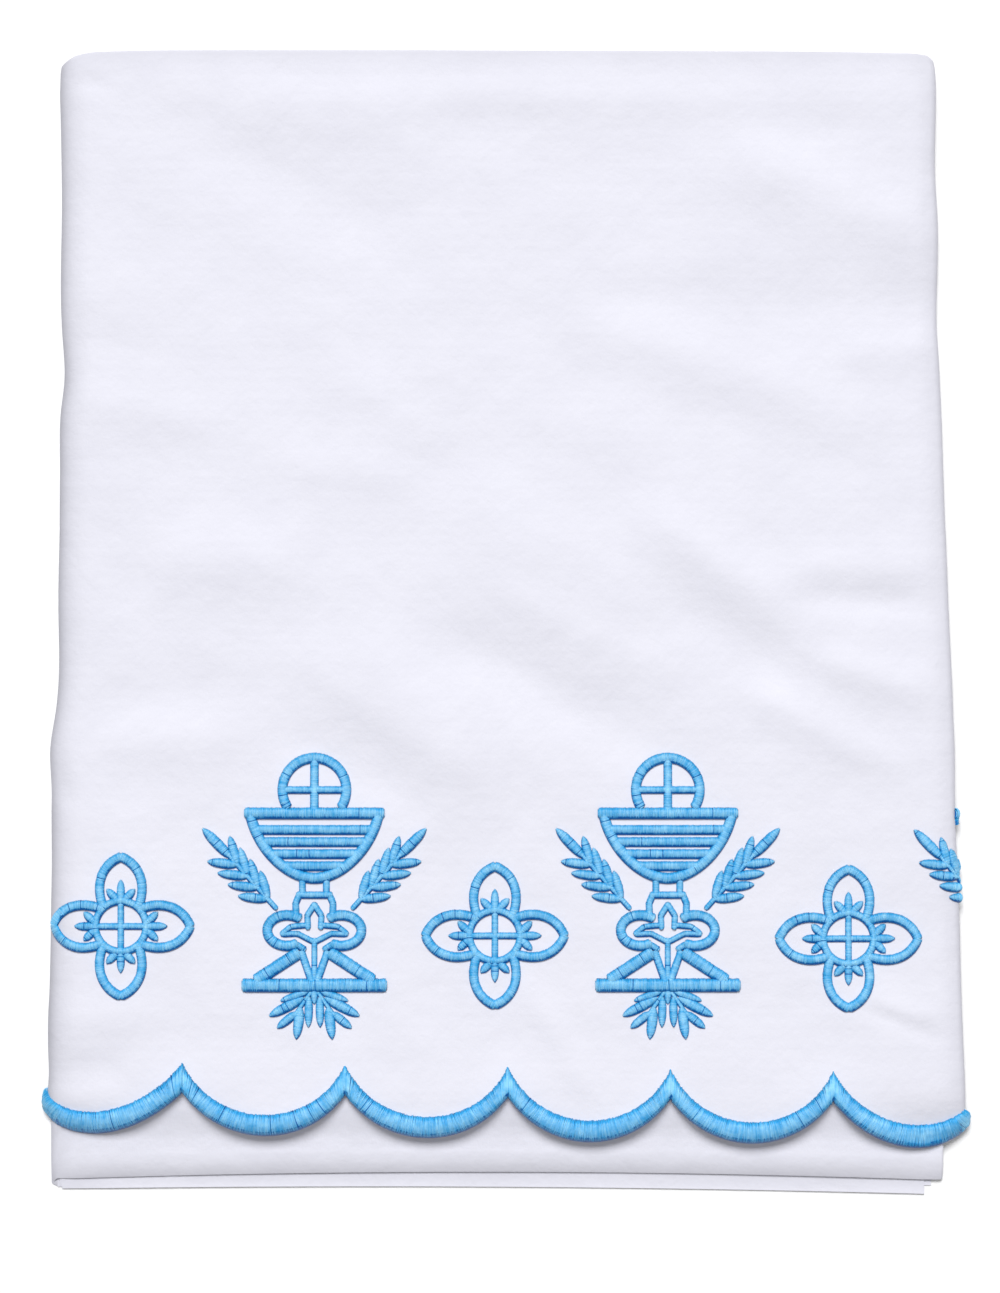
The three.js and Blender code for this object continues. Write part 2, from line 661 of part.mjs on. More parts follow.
function chaliceOutlines() {
  const { radius, stroke, from, to } = HOST;
  const outlines = [
    satinLine(arcPoints(0, 0, radius, radius, from, to, 12), stroke),
    satinLine([[0, radius], [0, RIM.y]], 3.6),
    satinLine([[-radius, 0], [radius, 0]], 2.9),
    ...chaliceBowl(),
    satinLine([[-COLLAR.half, COLLAR.y], [COLLAR.half, COLLAR.y]], COLLAR.stroke),
    satinLine([[0, STEM.top], [0, FOOT_BAR.y]], STEM.stroke),
    satinLine([[-FOOT_BAR.half, FOOT_BAR.y], [FOOT_BAR.half, FOOT_BAR.y]], FOOT_BAR.stroke),
    leaf(0, FOOT_BAR.y, 270, 11.2, 3.2),
  ];
  for (let i = 0; i < BANDS.count; i++) {
    const y = BANDS.first + i * BANDS.step;
    outlines.push(satinLine([[-bowlHalf(y), y], [bowlHalf(y), y]], BANDS.stroke));
  }
  const oval = arcPoints(-OVAL.x, OVAL.y, OVAL.radiusX, OVAL.radiusY, OVAL.from, OVAL.to, 8);
  const leftHalf = [
    satinLine([[-POST.x, -36.5], [-POST.x, COLLAR.y]], POST.stroke),
    satinLine([[-6.2, COLLAR.y], [-7.7, -46.6], [-7.4, -52.4]], 2.9),
    satinLine(oval, OVAL.stroke),
    satinLine([[0.3, -46.6], [-2.9, -51.6], [-2.6, -57.0]], 2.6),
    satinLine([[-2.4, -55.4], [-9.6, -56.0], [-13.6, -59.2]], 2.3),
    satinLine([[-13.6, -59.2], [-6.9, -58.9], [0.2, -62.6]], 2.3),
    satinLine([[-7.6, -63.2], [-3.8, -65.6]], 2.7),
    satinLine([[-6.2, -66.6], [-24.0, -78.2]], 5.2),
    satinLine([[-5.4, -66.2], [-0.5, -80.2]], 3.2),
    satinLine([[-0.4, -81.5], [-8.6, -93.2]], 1.8),
    ...SPRAY.map((row) => leaf(row.x, row.y, row.angle, row.length, row.width)),
  ];
  return [...outlines, ...bothSides(leftHalf)];
}

// An ear of wheat, drawn for the left of a chalice and mirrored for its right
const EAR = { x: -15.5, y: -48.8, angle: 131.6, length: 30.0, stroke: 2.2, pairs: 4 };
const GRAIN = { start: 5.2, step: 6.3, width: 3.8 };
const LOW_GRAIN = { turn: 37, length: 12.3 };
const HIGH_GRAIN = { turn: -28, length: 11.5 };
const TIP_GRAIN = { back: 1.5, turn: 3, length: 16, width: 4.1 };

function earPoint(distance) {
  const turn = degToRad(EAR.angle);
  return [EAR.x + Math.cos(turn) * distance, EAR.y + Math.sin(turn) * distance];
}

function grain(pair, { turn, length }) {
  return leaf(...earPoint(GRAIN.start + pair * GRAIN.step), EAR.angle + turn, length, GRAIN.width);
}

function earOutlines(firstPair = 0) {
  const outlines = [satinLine([earPoint(0), earPoint(EAR.length)], EAR.stroke)];
  for (let pair = firstPair; pair < EAR.pairs; pair++) {
    outlines.push(grain(pair, LOW_GRAIN), grain(pair, HIGH_GRAIN));
  }
  const { back, turn, length, width } = TIP_GRAIN;
  outlines.push(leaf(...earPoint(EAR.length - back), EAR.angle + turn, length, width));
  return outlines;
}

// The cross of four petals round a ring
const RING = { radius: 9.6, stroke: 2.9 };
const PETAL = { corners: [[-7.0, 7.6], [-10.8, 16.5], [-7.6, 25.2], [0.4, 28.6]], stroke: 3.9 };
const PALMETTE = { base: 10.4, reach: 8.4, width: 2.8 };
const PALMETTE_SIDE = { x: -1.2, turn: 38, length: 6.6 };
const CROSS_ARMS = { upright: 2.75, crossbar: 2.6 };
const END_BAR = { y: RING.radius + 1, half: 3.4, stroke: 1.7 };

function crossOutlines() {
  const outlines = [
    satinRing(RING.radius, RING.stroke, 16),
    satinLine([[0, -RING.radius], [0, RING.radius]], CROSS_ARMS.upright),
    satinLine([[-RING.radius, 0], [RING.radius, 0]], CROSS_ARMS.crossbar),
  ];
  for (const y of [-END_BAR.y, END_BAR.y]) {
    outlines.push(satinLine([[-END_BAR.half, y], [END_BAR.half, y]], END_BAR.stroke));
  }
  const side = PALMETTE_SIDE;
  const petal = bothSides([
    satinLine(curvePoints(PETAL.corners, 5), PETAL.stroke),
    leaf(side.x, PALMETTE.base, 90 + side.turn, side.length, PALMETTE.width),
  ]);
  petal.push(leaf(0, PALMETTE.base - 1, 90, PALMETTE.reach + 1, PALMETTE.width));
  for (let quarter = 0; quarter < 4; quarter++) {
    const turn = (quarter * Math.PI) / 2;
    const origin = new THREE.Vector2();
    for (const outline of petal) {
      outlines.push({ outer: outline.outer.map((p) => p.clone().rotateAround(origin, turn)) });
    }
  }
  return outlines;
}

// The border: a band with a domed section that follows the scallops and turns round both folds
const BORDER_SECTION = [
  { across: 0, height: 0 },
  { across: 1, height: 0 },
  { across: 1, height: 0.5 },
  { across: 0.5, height: 1 },
  { across: 0, height: 0.5 },
];

function makeBorder() {
  const [left, right] = panelLimits("top", REFERENCE_Y, "front");
  const places = [];
  const step = SCALLOP / 12;
  const first = Math.ceil((left - CUSP_X) / step);
  const last = Math.floor((right - CUSP_X) / step);
  for (let count = first; count <= last; count++) places.push(CUSP_X + count * step);
  const wrapSteps = 5;
  for (let i = 1; i <= wrapSteps; i++) {
    const share = i / wrapSteps;
    places.unshift(left - share * STITCH_WRAP * OUTER_LEFT_RADIUS.front);
    places.push(right + share * STITCH_WRAP * RIGHT_RADIUS.front);
  }
  const positions = [];
  for (const place of places) {
    const outer = borderOuter(clamp(place, left, right), place);
    const inner = borderInner(clamp(place, left, right), place);
    for (const { across, height } of BORDER_SECTION) {
      const y = lerp(outer, inner, across);
      const onFold = stackPlace(place, height);
      positions.push(onFold.x, y, onFold.zAt(y));
    }
  }
  const triangles = [];
  const points = BORDER_SECTION.length;
  for (let i = 0; i + 1 < places.length; i++) {
    for (let k = 0; k < points; k++) {
      const [a, b] = [i * points + k, i * points + ((k + 1) % points)];
      triangles.push(a, b, b + points, a, b + points, a + points);
    }
  }
  const end = (places.length - 1) * points;
  for (let k = 1; k + 1 < points; k++) {
    triangles.push(0, k + 1, k, end, end + k, end + k + 1);
  }
  const geometry = new THREE.BufferGeometry();
  geometry.setAttribute("position", new THREE.Float32BufferAttribute(positions, 3));
  geometry.setIndex(triangles);
  return finished("scalloped_border", geometry, THREAD_FINISH);
}

// Near the scalloped edge the folds keep one place, so the border does too
function stackPlace(place, height) {
  const above = STITCH_GAP + height * STITCH_RELIEF;
  const laid = drape(place, REFERENCE_Y, above);
  const flat = laid.z - liftAt(laid.x, REFERENCE_Y);
  const unswollen = flat / swellAt(laid.x, REFERENCE_Y);
  return {
    x: laid.x,
    zAt: (y) => unswollen * swellAt(laid.x, y) + (isOnPanel(place) ? liftAt(laid.x, y) : 0),
  };
}

function isOnPanel(place) {
  const [left, right] = panelLimits("top", REFERENCE_Y, "front");
  return place >= left && place <= right;
}

const altarCloth = new THREE.Group();
altarCloth.name = "altar_cloth";
altarCloth.add(makeCloth(), makeBorder());

let earNumber = 0;
for (const { name, x, y } of CHALICES) {
  altarCloth.add(layOnCloth(name, chaliceOutlines(), { x, y }));
  for (const outlines of [earOutlines(), earOutlines().map(mirrored)]) {
    earNumber += 1;
    altarCloth.add(layOnCloth(`wheat_ear_${earNumber}`, outlines, { x, y }));
  }
}
const foldLimit = rightMiddle(-100, "front") + STITCH_WRAP * RIGHT_RADIUS.front;
altarCloth.add(layOnCloth(FOLD_CHALICE.name, chaliceBowl(), FOLD_CHALICE, foldLimit));
altarCloth.add(layOnCloth("wheat_ear_5", earOutlines(1), FOLD_CHALICE, foldLimit));
altarCloth.add(layOnCloth("wheat_ear_5_grain", [grain(0, LOW_GRAIN)], FOLD_CHALICE, foldLimit));
for (const { name, x, y } of CROSSES) {
  altarCloth.add(layOnCloth(name, crossOutlines(), { x, y }));
}

// The middle of the footprint is the origin, and the underside is at z = 0
const box = new THREE.Box3().setFromObject(altarCloth);
const middle = box.getCenter(new THREE.Vector3());
altarCloth.position.set(-middle.x, -middle.y, -box.min.z);

export default altarCloth;
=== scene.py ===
# %% [markdown]
# # A folded altar cloth
# The real thing is one long sheet of white cotton. One long side has a plain hem, and the other
# is cut in scallops and bound with blue satin stitch, with a row of embroidered motifs above it.
# It is folded along its length and then twice across, and lies on a white table.
# The packed solids give every size. This script dresses them: it makes the same folded sheet
# again with finer folds, and sews the embroidery thread by thread.

# %% Load the packed frame
import math

import bmesh
import bpy
import numpy as np
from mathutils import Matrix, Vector


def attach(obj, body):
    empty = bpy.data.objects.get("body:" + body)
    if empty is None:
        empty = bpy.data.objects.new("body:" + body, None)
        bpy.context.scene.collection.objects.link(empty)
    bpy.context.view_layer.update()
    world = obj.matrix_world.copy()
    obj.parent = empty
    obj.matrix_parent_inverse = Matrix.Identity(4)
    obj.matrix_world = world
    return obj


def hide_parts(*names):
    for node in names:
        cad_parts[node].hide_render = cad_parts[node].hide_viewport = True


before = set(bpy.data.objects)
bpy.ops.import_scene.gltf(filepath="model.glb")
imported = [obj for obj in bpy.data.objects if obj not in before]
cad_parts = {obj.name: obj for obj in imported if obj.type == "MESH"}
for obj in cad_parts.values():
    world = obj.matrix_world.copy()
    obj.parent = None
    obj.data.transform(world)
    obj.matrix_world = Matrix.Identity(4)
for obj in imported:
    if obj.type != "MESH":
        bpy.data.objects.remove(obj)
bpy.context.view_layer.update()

# %% [markdown]
# ## Camera
# The cloth was photographed from straight above. A long lens is used, so that the sides of the
# stack hardly show. The lens and the distance together decide how much of the table is seen.

# %% Camera
SEEN_HEIGHT = 0.5301
SEEN_CENTRE = (-0.0027, -0.0094)
CLOTH_TOP = 0.0116
LENS = 80.0

camera_data = bpy.data.cameras.new("camera")
camera_data.lens = LENS
camera_data.clip_end = 20.0
camera = bpy.data.objects.new("camera", camera_data)
distance = SEEN_HEIGHT * LENS / camera_data.sensor_width
camera.location = (*SEEN_CENTRE, CLOTH_TOP + distance)
bpy.context.collection.objects.link(camera)
bpy.context.scene.camera = camera
print("camera stands", round(distance, 3), "m above the cloth")

# %% [markdown]
# ## Table and light
# White cloth on a white table shows its folds only by soft shade. One wide lamp stands far beyond
# the top of the cloth, so its light is as strong at the near end as at the far one, and low enough
# to shade the folds. A weak lamp close by and an even white surround fill the shadows. The plain
# view transform keeps white white.

# %% Table and light
def make_mesh(name, points, faces):
    """An object at the origin with its place in its mesh."""
    mesh = bpy.data.meshes.new(name)
    mesh.from_pydata([tuple(point) for point in points], [], faces)
    mesh.update()
    made = bpy.data.objects.new(name, mesh)
    bpy.context.collection.objects.link(made)
    return made


def soft_lamp(name, place, width, power):
    """A square lamp that looks at the cloth."""
    lamp_data = bpy.data.lights.new(name, "AREA")
    lamp_data.size = width
    lamp_data.energy = power
    lamp = bpy.data.objects.new(name, lamp_data)
    lamp.location = place
    lamp.rotation_euler = (-Vector(place)).to_track_quat("-Z", "Y").to_euler()
    bpy.context.collection.objects.link(lamp)


def new_material(name):
    """A material with a Principled shader, and what is needed to wire it."""
    material = bpy.data.materials.new(name)
    material.use_nodes = True
    return material, material.node_tree, material.node_tree.nodes["Principled BSDF"]


TABLE_HALF, TABLE_Z = 4.0, -0.0002
TABLE_WHITES = [(0.945, 0.945, 0.945, 1), (0.955, 0.955, 0.955, 1)]
corners = [(-1, -1), (1, -1), (1, 1), (-1, 1)]
corners = [(x * TABLE_HALF, y * TABLE_HALF, TABLE_Z) for x, y in corners]
table_top = make_mesh("table_top", corners, [(0, 1, 2, 3)])
table_paint, tree, shader = new_material("white_table")
grain = tree.nodes.new("ShaderNodeTexNoise")
grain.inputs["Scale"].default_value = 3.0
shades = tree.nodes.new("ShaderNodeValToRGB")
for shade, colour in zip(shades.color_ramp.elements, TABLE_WHITES):
    shade.color = colour
coordinates = tree.nodes.new("ShaderNodeTexCoord")
tree.links.new(coordinates.outputs["Object"], grain.inputs["Vector"])
tree.links.new(grain.outputs["Fac"], shades.inputs["Fac"])
tree.links.new(shades.outputs["Color"], shader.inputs["Base Color"])
shader.inputs["Roughness"].default_value = 0.9
shader.inputs["Specular IOR Level"].default_value = 0.1
table_top.data.materials.append(table_paint)

soft_lamp("wide_lamp", place=(-0.5, 5.0, 7.4), width=3.4, power=822.0)
soft_lamp("near_fill", place=(0.0, -0.42, 0.95), width=0.5, power=1.2)

SURROUND_STRENGTH = 0.22
surround = bpy.data.worlds.new("surround")
surround.use_nodes = True
white_light = surround.node_tree.nodes["Background"]
white_light.inputs["Color"].default_value = (1, 1, 1, 1)
white_light.inputs["Strength"].default_value = SURROUND_STRENGTH
bpy.context.scene.world = surround
bpy.context.scene.view_settings.view_transform = "Standard"
print("one wide lamp, a small fill and an even surround")

# %% [markdown]
# ## The stack's sizes
# The cloth is folded along its length at the top edge, so a front layer lies on a longer back
# layer. That strip is folded across in four panels: top, second, third and bottom. All lengths in
# the tables are millimetres, as on the solids, and become metres where a mesh is made.
# A small table with named columns is easier to correct against the cloth than a list of points.

# %% The stack's sizes
MM = 0.001
SHEET = 1.0
AIR = 0.4
STRIP = 2 * SHEET + AIR
STACK = 4 * STRIP + 3 * AIR
FRONT_DEPTH = {"outer": STRIP, "inner": SHEET + AIR}
BACK_DEPTH = {"outer": 0.0, "inner": SHEET}
LEFT_RADIUS = (STACK / 2, STACK / 2 - SHEET - AIR)
RIGHT_RADIUS = (AIR / 2 + STRIP, AIR / 2 + SHEET)
INNER_SET_IN = (4.8, 4.4)
REFERENCE_Y, NEAR_TOP_Y = -200.0, 230.0

# Each panel's place in the stack, which way its front layer faces, how far its top fold stands
# back, and its plain hem at the left, in the middle and at the right
PANELS = {
    "top": {"rank": 3, "up": True, "back": 0.0, "hem": (-229.3, -226.5, -229.7)},
    "second": {"rank": 2, "up": False, "back": 0.8, "hem": (-228.1, -225.7, -228.3)},
    "third": {"rank": 1, "up": True, "back": 1.4, "hem": (-233.6, -232.9, -236.0)},
    "bottom": {"rank": 0, "up": False, "back": 0.6, "hem": (-233.0, -232.0, -232.4)},
}
OPEN_ENDS = {"third": (172.8, 176.3), "bottom": (175.7, 175.9)}
PLAIN_HEM_SPAN = 180.0
OPEN_END_HEIGHTS = (-200.0, 190.0)


def table(columns, rows):
    """A small table, as one array of numbers for each named column."""
    return dict(zip(columns.split(), np.array(rows, float).T))


# Outermost points of the side folds at each height: front layer, then back layer
SIDE_FOLDS = table("y left right back_left back_right", [
    (234, -182.6, 175.0, -180.9, 173.4),
    (228, -184.2, 176.4, -182.5, 174.8),
    (222, -184.4, 176.7, -182.7, 175.1),
    (210, -184.2, 176.6, -182.5, 175.0),
    (190, -183.8, 176.3, -182.1, 174.7),
    (165, -183.7, 177.3, -182.0, 175.5),
    (140, -184.0, 177.4, -182.3, 175.5),
    (122, -183.8, 177.3, -182.1, 175.3),
    (100, -182.4, 178.5, -180.8, 176.2),
    (84, -184.2, 179.2, -182.3, 176.7),
    (60, -184.4, 179.9, -182.5, 177.2),
    (15, -185.1, 181.7, -183.2, 178.3),
    (-33, -185.8, 183.7, -183.8, 179.2),
    (-52, -188.6, 184.5, -184.9, 179.5),
    (-76, -187.9, 184.7, -185.5, 179.7),
    (-120, -188.1, 186.5, -186.2, 179.9),
    (-160, -188.9, 187.6, -187.1, 180.1),
    (-200, -189.9, 189.1, -188.2, 180.2),
    (-236, -189.9, 189.1, -188.2, 180.2),
])
TOP_EDGE = table("x y", [
    (-190, 229.0), (-184, 230.9), (-181.5, 232.4), (-178, 233.6), (-172, 234.5), (-160, 235.0),
    (-120, 235.4), (-80, 235.4), (-41, 235.4), (0, 235.3), (40, 235.2), (80, 235.0), (120, 234.8),
    (143, 234.5), (160, 234.1), (170, 233.8), (175, 233.0), (178, 231.2), (182, 229.5),
])
WAVES = table("swell length turn phase", [
    (0.024, 230, 62, 40),
    (0.018, 175, 48, 210),
    (0.012, 310, 118, 120),
])
REST_SWELL = 0.045
# How far the side folds are pressed down, how wide, and how suddenly
LEFT_SINK, LEFT_SINK_REACH = 0.53, 12.5
RIGHT_SINK, RIGHT_SINK_REACH = 0.26, 9.0
SINK_POWER = 1.4
# How much the stack is pressed down near the scalloped edge and near the plain hem
EDGE_PRESSED = table("y pressed", [
    (-180, 0), (-188, 0), (-196, 0.06), (-203, 0.25), (-208, 0.42), (-211, 0.51), (-213, 0.46),
    (-215, 0.36), (-217, 0.25), (-219, 0.14), (-222, 0.12),
])
HEM_PRESSED = table("from_hem pressed", [
    (12, 0), (10, 0), (7, 0.05), (4, 0.16), (2, 0.32), (0, 0.52), (-2, 0.5), (-4, 0.46), (-8, 0.6),
])
PRESS_SHARE = 0.86


def mix(a, b, share):
    return a + (b - a) * share


def smooth_step(value, start, end):
    """0 before start, 1 after end, with an even turn between them."""
    share = np.clip((value - start) / (end - start), 0, 1)
    return share * share * (3 - 2 * share)


def read(rows, key, at, column):
    """A column's value between the rows of a table, on a smooth curve through them."""
    order = np.argsort(rows[key])
    keys, values = rows[key][order], rows[column][order]
    slopes = np.gradient(values, keys)
    at = np.clip(at, keys[0], keys[-1])
    i = np.clip(np.searchsorted(keys, at) - 1, 0, len(keys) - 2)
    gap = keys[i + 1] - keys[i]
    t = (at - keys[i]) / gap
    rise = t * t * (3 - 2 * t)
    bend = t * (1 - t) * gap * ((1 - t) * slopes[i] - t * slopes[i + 1])
    return mix(values[i], values[i + 1], rise) + bend


def hem_at(name, x):
    """Where a panel's plain hem lies: it bows a little between its ends."""
    left, middle, right = PANELS[name]["hem"]
    share = np.clip(x / PLAIN_HEM_SPAN, -1, 1)
    return middle + (right - left) / 2 * share + ((left + right) / 2 - middle) * share * share


def full_swell(x, y):
    """How much thicker the stack is at a point, as a factor on every height, with its sides pressed."""
    swell = 1 + REST_SWELL
    for size, length, turn, phase in zip(*WAVES.values()):
        along = x * math.cos(math.radians(turn)) + y * math.sin(math.radians(turn))
        swell = swell + size * np.sin(2 * math.pi * along / length + math.radians(phase))
    from_left = x - read(SIDE_FOLDS, "y", y, "left")
    from_right = read(SIDE_FOLDS, "y", y, "right") - x
    swell = swell - LEFT_SINK * np.clip(1 - from_left / LEFT_SINK_REACH, 0, 1) ** SINK_POWER
    return swell - RIGHT_SINK * np.clip(1 - from_right / RIGHT_SINK_REACH, 0, 1) ** SINK_POWER


def pressed_at(x, y):
    """Share by which the layers are pressed near the scalloped edge and near the plain hem."""
    by_hem = read(HEM_PRESSED, "from_hem", y - hem_at("top", x), "pressed")
    return read(EDGE_PRESSED, "y", y, "pressed") + by_hem


def swell_at(x, y):
    return full_swell(x, y) * (1 - pressed_at(x, y))


def fold_middle(fold, y, layer):
    """Middle of a fold's round at a height of the cloth. Layer is 0 in front and 1 at the back."""
    if fold == "left":
        front = read(SIDE_FOLDS, "y", y, "left") + LEFT_RADIUS[0]
        return mix(front, read(SIDE_FOLDS, "y", y, "back_left") + LEFT_RADIUS[1], layer)
    if fold == "inner":
        return read(SIDE_FOLDS, "y", y, "back_left") + mix(*INNER_SET_IN, layer)
    front = read(SIDE_FOLDS, "y", y, "right") - RIGHT_RADIUS[0]
    return mix(front, read(SIDE_FOLDS, "y", y, "back_right") - RIGHT_RADIUS[1], layer)


def open_end(name, y):
    low, high = OPEN_END_HEIGHTS
    return mix(*OPEN_ENDS[name], np.clip((y - low) / (high - low), 0, 1))


def panel_limits(name, y, layer):
    """Left and right ends of a panel's flat part."""
    left = fold_middle("left" if name in ("top", "bottom") else "inner", y, layer)
    if name in ("top", "second"):
        return left, fold_middle("right", y, layer)
    return left, open_end(name, y)


def panel_height(name, depth, settled=0.0):
    """Height of a depth in the strip in one panel, before the swell."""
    rank, up = PANELS[name]["rank"], PANELS[name]["up"]
    stacked = rank * (STRIP + AIR) + (depth if up else STRIP - depth)
    alone = rank * (SHEET + AIR) + (depth if up else SHEET - depth)
    return mix(stacked, alone, settled)


print("eight layers stand", round(STACK * (1 + REST_SWELL), 1), "mm high")

# %% [markdown]
# ## The scalloped edge
# Each scallop is an arc of a circle between two cusps. The border of satin stitch follows it, a
# little narrower towards the cusps. The scallops run on round the folds, so their place is counted
# along the unfolded edge.

# %% The scalloped edge
SCALLOP = 66.65
CUSP_X = 0.5
BORDER_BOTTOM = -211.4
BORDER_SLOPE = -0.0137
BORDER_WIDTH = 8.8
OUTER_RISE = 17.4
INNER_RISE = 20.9
CLOTH_MARGIN = -1.2

# Scallops that hang lower, lean or have a wider border, counted from the one right of the middle cusp
UNEVEN_SCALLOPS = table("scallop drop shift wider", [
    (-3, 0.1, 0.18, 0.7),
    (0, 0.6, 0.0, 0.2),
    (1, 0.4, 0.0, 0.0),
    (2, 1.1, -0.08, 0.6),
])

FOLD_LENGTHS = {
    "left": math.pi * (LEFT_RADIUS[0] - SHEET / 2),
    "right": math.pi * (RIGHT_RADIUS[0] - SHEET / 2),
    "inner": math.pi * (AIR / 2 + SHEET / 2),
}


def unfolded(name, x):
    """Distance along the scalloped edge, from the top panel's x = 0, of a place in a panel."""
    left, right = panel_limits("top", REFERENCE_Y, 0)
    inner = fold_middle("inner", REFERENCE_Y, 0)
    if name == "bottom":
        return left - FOLD_LENGTHS["left"] - (x - left)
    if name == "second":
        return right + FOLD_LENGTHS["right"] + (right - x)
    if name == "third":
        return 2 * right + FOLD_LENGTHS["right"] - inner + FOLD_LENGTHS["inner"] + (x - inner)
    return x


def scallop_place(along):
    """-1 and 1 at a scallop's cusps, 0 at its lowest point."""
    turns = (along - CUSP_X) / SCALLOP
    return 2 * (turns - np.floor(turns)) - 1


def arc_rise(place, rise):
    half = SCALLOP / 2
    radius = (half * half + rise * rise) / (2 * rise)
    return radius - np.sqrt(radius * radius - (half * place) ** 2)


def border_line(x, along, rise, outer=0.0):
    """An arc between the cusps, with what sets the scallop it is in apart from the others."""
    place = scallop_place(along)
    number = np.floor((along - CUSP_X) / SCALLOP)
    bottom = BORDER_BOTTOM + BORDER_SLOPE * x
    for scallop, drop, shift, wider in zip(*UNEVEN_SCALLOPS.values()):
        rest = (number == scallop) * (1 - place**2)
        bottom, place = bottom - (drop + wider * outer) * rest, place + shift * rest
    return bottom + arc_rise(place, rise)


def border_outer(x, along):
    return border_line(x, along, OUTER_RISE, 1.0)


def border_inner(x, along):
    return BORDER_WIDTH + border_line(x, along, INNER_RISE)


print("a scallop is", SCALLOP, "mm wide and its border", BORDER_WIDTH, "mm deep")

# %% [markdown]
# ## The soft creases
# A folded cotton cloth keeps soft ridges and troughs: here they run down to the right, with small
# puckers at both side folds. They could come from a cloth simulation, but a simulation would
# wrinkle where it likes. So each crease is laid as a soft ridge from one point to another,
# with its width and height. A negative height is a trough.

# %% The soft creases
CREASES = table("x0 y0 x1 y1 width height", [
    (-15, 49, 63, 3, 24, 1.6),
    (-15, 19, 65, -20, 9, 0.8),
    (-29, -3, 59, -50, 12, -1.8),
    (-66, -9, -7, -68, 17, 2),
    (-85, -13, -31, -54, 8, 0.7),
    (-140, 25, -85, 25, 14, 1.8),
    (-171, -32, -109, -26, 10, -0.8),
    (-167, -49, -111, -46, 10, 0.8),
    (-93, -44, -40, -72, 10, -0.9),
    (-132, 203, -44, 153, 13, -0.8),
    (-115, 216, 141, 215, 8, 0.8),
    (-109, 210, -35, 204, 13, 0.8),
    (108, 131, 178, 129, 14, -1.5),
    (38, 131, 112, 132, 10, -0.6),
    (94, 194, 172, 156, 15, 2),
    (22, 122, 153, 83, 12, 0.9),
    (-15, 133, 141, 66, 12, -0.5),
    (141, 110, 172, 114, 6, 0.4),
    (55, 46, 120, 1, 12, 1.9),
    (63, 14, 120, -23, 11, -0.8),
    (118, 10, 172, 8, 6, -0.9),
    (120, 25, 170, 22, 7, 0.8),
    (120, -12, 172, -29, 8, 1.2),
    (98, -27, 157, -58, 8, 1.3),
    (22, 81, 63, 75, 9, 0.5),
    (-66, 101, -27, 74, 9, 0.7),
    (-85, 64, -44, 61, 8, 0.7),
    (-183, 95, -117, 80, 10, 0.8),
    (-179, 118, -142, 112, 8, -0.5),
    (10, -150, 32, -189, 7, 1.1),
    (-191, -187, -158, -182, 7, -1),
    (-185, -163, -146, -159, 9, 0.8),
    (147, -158, 176, -169, 3, -0.7),
    (148, -154, 174, -163, 4, 0.6),
    (-72, -171, -46, -197, 8, 0.5),
    (-186, 230, -163, 219, 4, -0.7),
    (-188, -54, -179, -73, 4, -0.8),
])
RIPPLES = table("size length turn phase", [
    (0.10, 61, 55, 10),
    (0.08, 43, 71, 130),
    (0.06, 33, 28, 250),
    (0.05, 27, 100, 70),
])
# The top layer lies loose, except near the folds, and looser at the right fold than at the left
LOOSENESS, LOOSE_FROM, RIGHT_LOOSER = 0.35, (5.0, 24.0), 4.0
CREASE_ENDS = (0.25, 0.75)
TOP_FADE = (1.0, 15.0)
# How much of a crease each panel's front and back layer follow
FOLLOWED = {"top": (1.0, 0.86), "second": (0.56, 0.7), "third": (0.42, 0.28), "bottom": (0.0, 0.14)}
HEM_LIFT, HEM_LIFT_REACH = 0.8, 42.0
CUSP_LIFT, CUSP_LIFT_REACH = 1.3, 24.0
LIFT_FADE = (142, 183)


def crease_at(x, y):
    """How far the top layer stands up from the stack or sinks into it at a point."""
    from_left = x - read(SIDE_FOLDS, "y", y, "left")
    from_right = read(SIDE_FOLDS, "y", y, "right") - x
    rise = LOOSENESS * smooth_step(np.minimum(from_left, from_right + RIGHT_LOOSER), *LOOSE_FROM)
    for x0, y0, x1, y1, width, height in zip(*CREASES.values()):
        run_x, run_y = x1 - x0, y1 - y0
        length = math.hypot(run_x, run_y)
        along = ((x - x0) * run_x + (y - y0) * run_y) / length**2
        across = ((y - y0) * run_x - (x - x0) * run_y) / length
        fading = 1 - smooth_step(np.abs(along - 0.5), *CREASE_ENDS)
        rise = rise + height * fading * np.exp(-((across / width) ** 2))
    for size, length, turn, phase in zip(*RIPPLES.values()):
        along = x * math.cos(math.radians(turn)) + y * math.sin(math.radians(turn))
        rise = rise + size * np.sin(2 * math.pi * along / length + math.radians(phase))
    below_top = read(TOP_EDGE, "x", x, "y") - y
    return rise * smooth_step(below_top, *TOP_FADE)


def lift_at(x, y):
    """The scalloped edge stands off the pressed layers, most at its cusps, and not at the folds."""
    inside = 1 - smooth_step(np.abs(x), *LIFT_FADE)
    pressed = STACK * full_swell(x, y) * pressed_at(x, y)
    edge = 1 - smooth_step(y - BORDER_BOTTOM, 0, HEM_LIFT_REACH)
    cusp = 1 - smooth_step(y - BORDER_BOTTOM - OUTER_RISE, 0, CUSP_LIFT_REACH)
    off = HEM_LIFT * edge + CUSP_LIFT * cusp * np.abs(scallop_place(x)) ** 3
    return inside * (off + PRESS_SHARE * pressed)


print(len(CREASES["x0"]), "creases laid by hand")

# %% [markdown]
# ## The folded sheet
# The cloth is one sheet, so it is one mesh: a closed section that runs up the front layer, round
# the top fold and down the back layer, swept along the strip's way through the four panels and
# round the three side folds. Only the front of the top panel needs fine rows and columns. Rows with
# different columns are joined by a strip of triangles that steps along both at once.

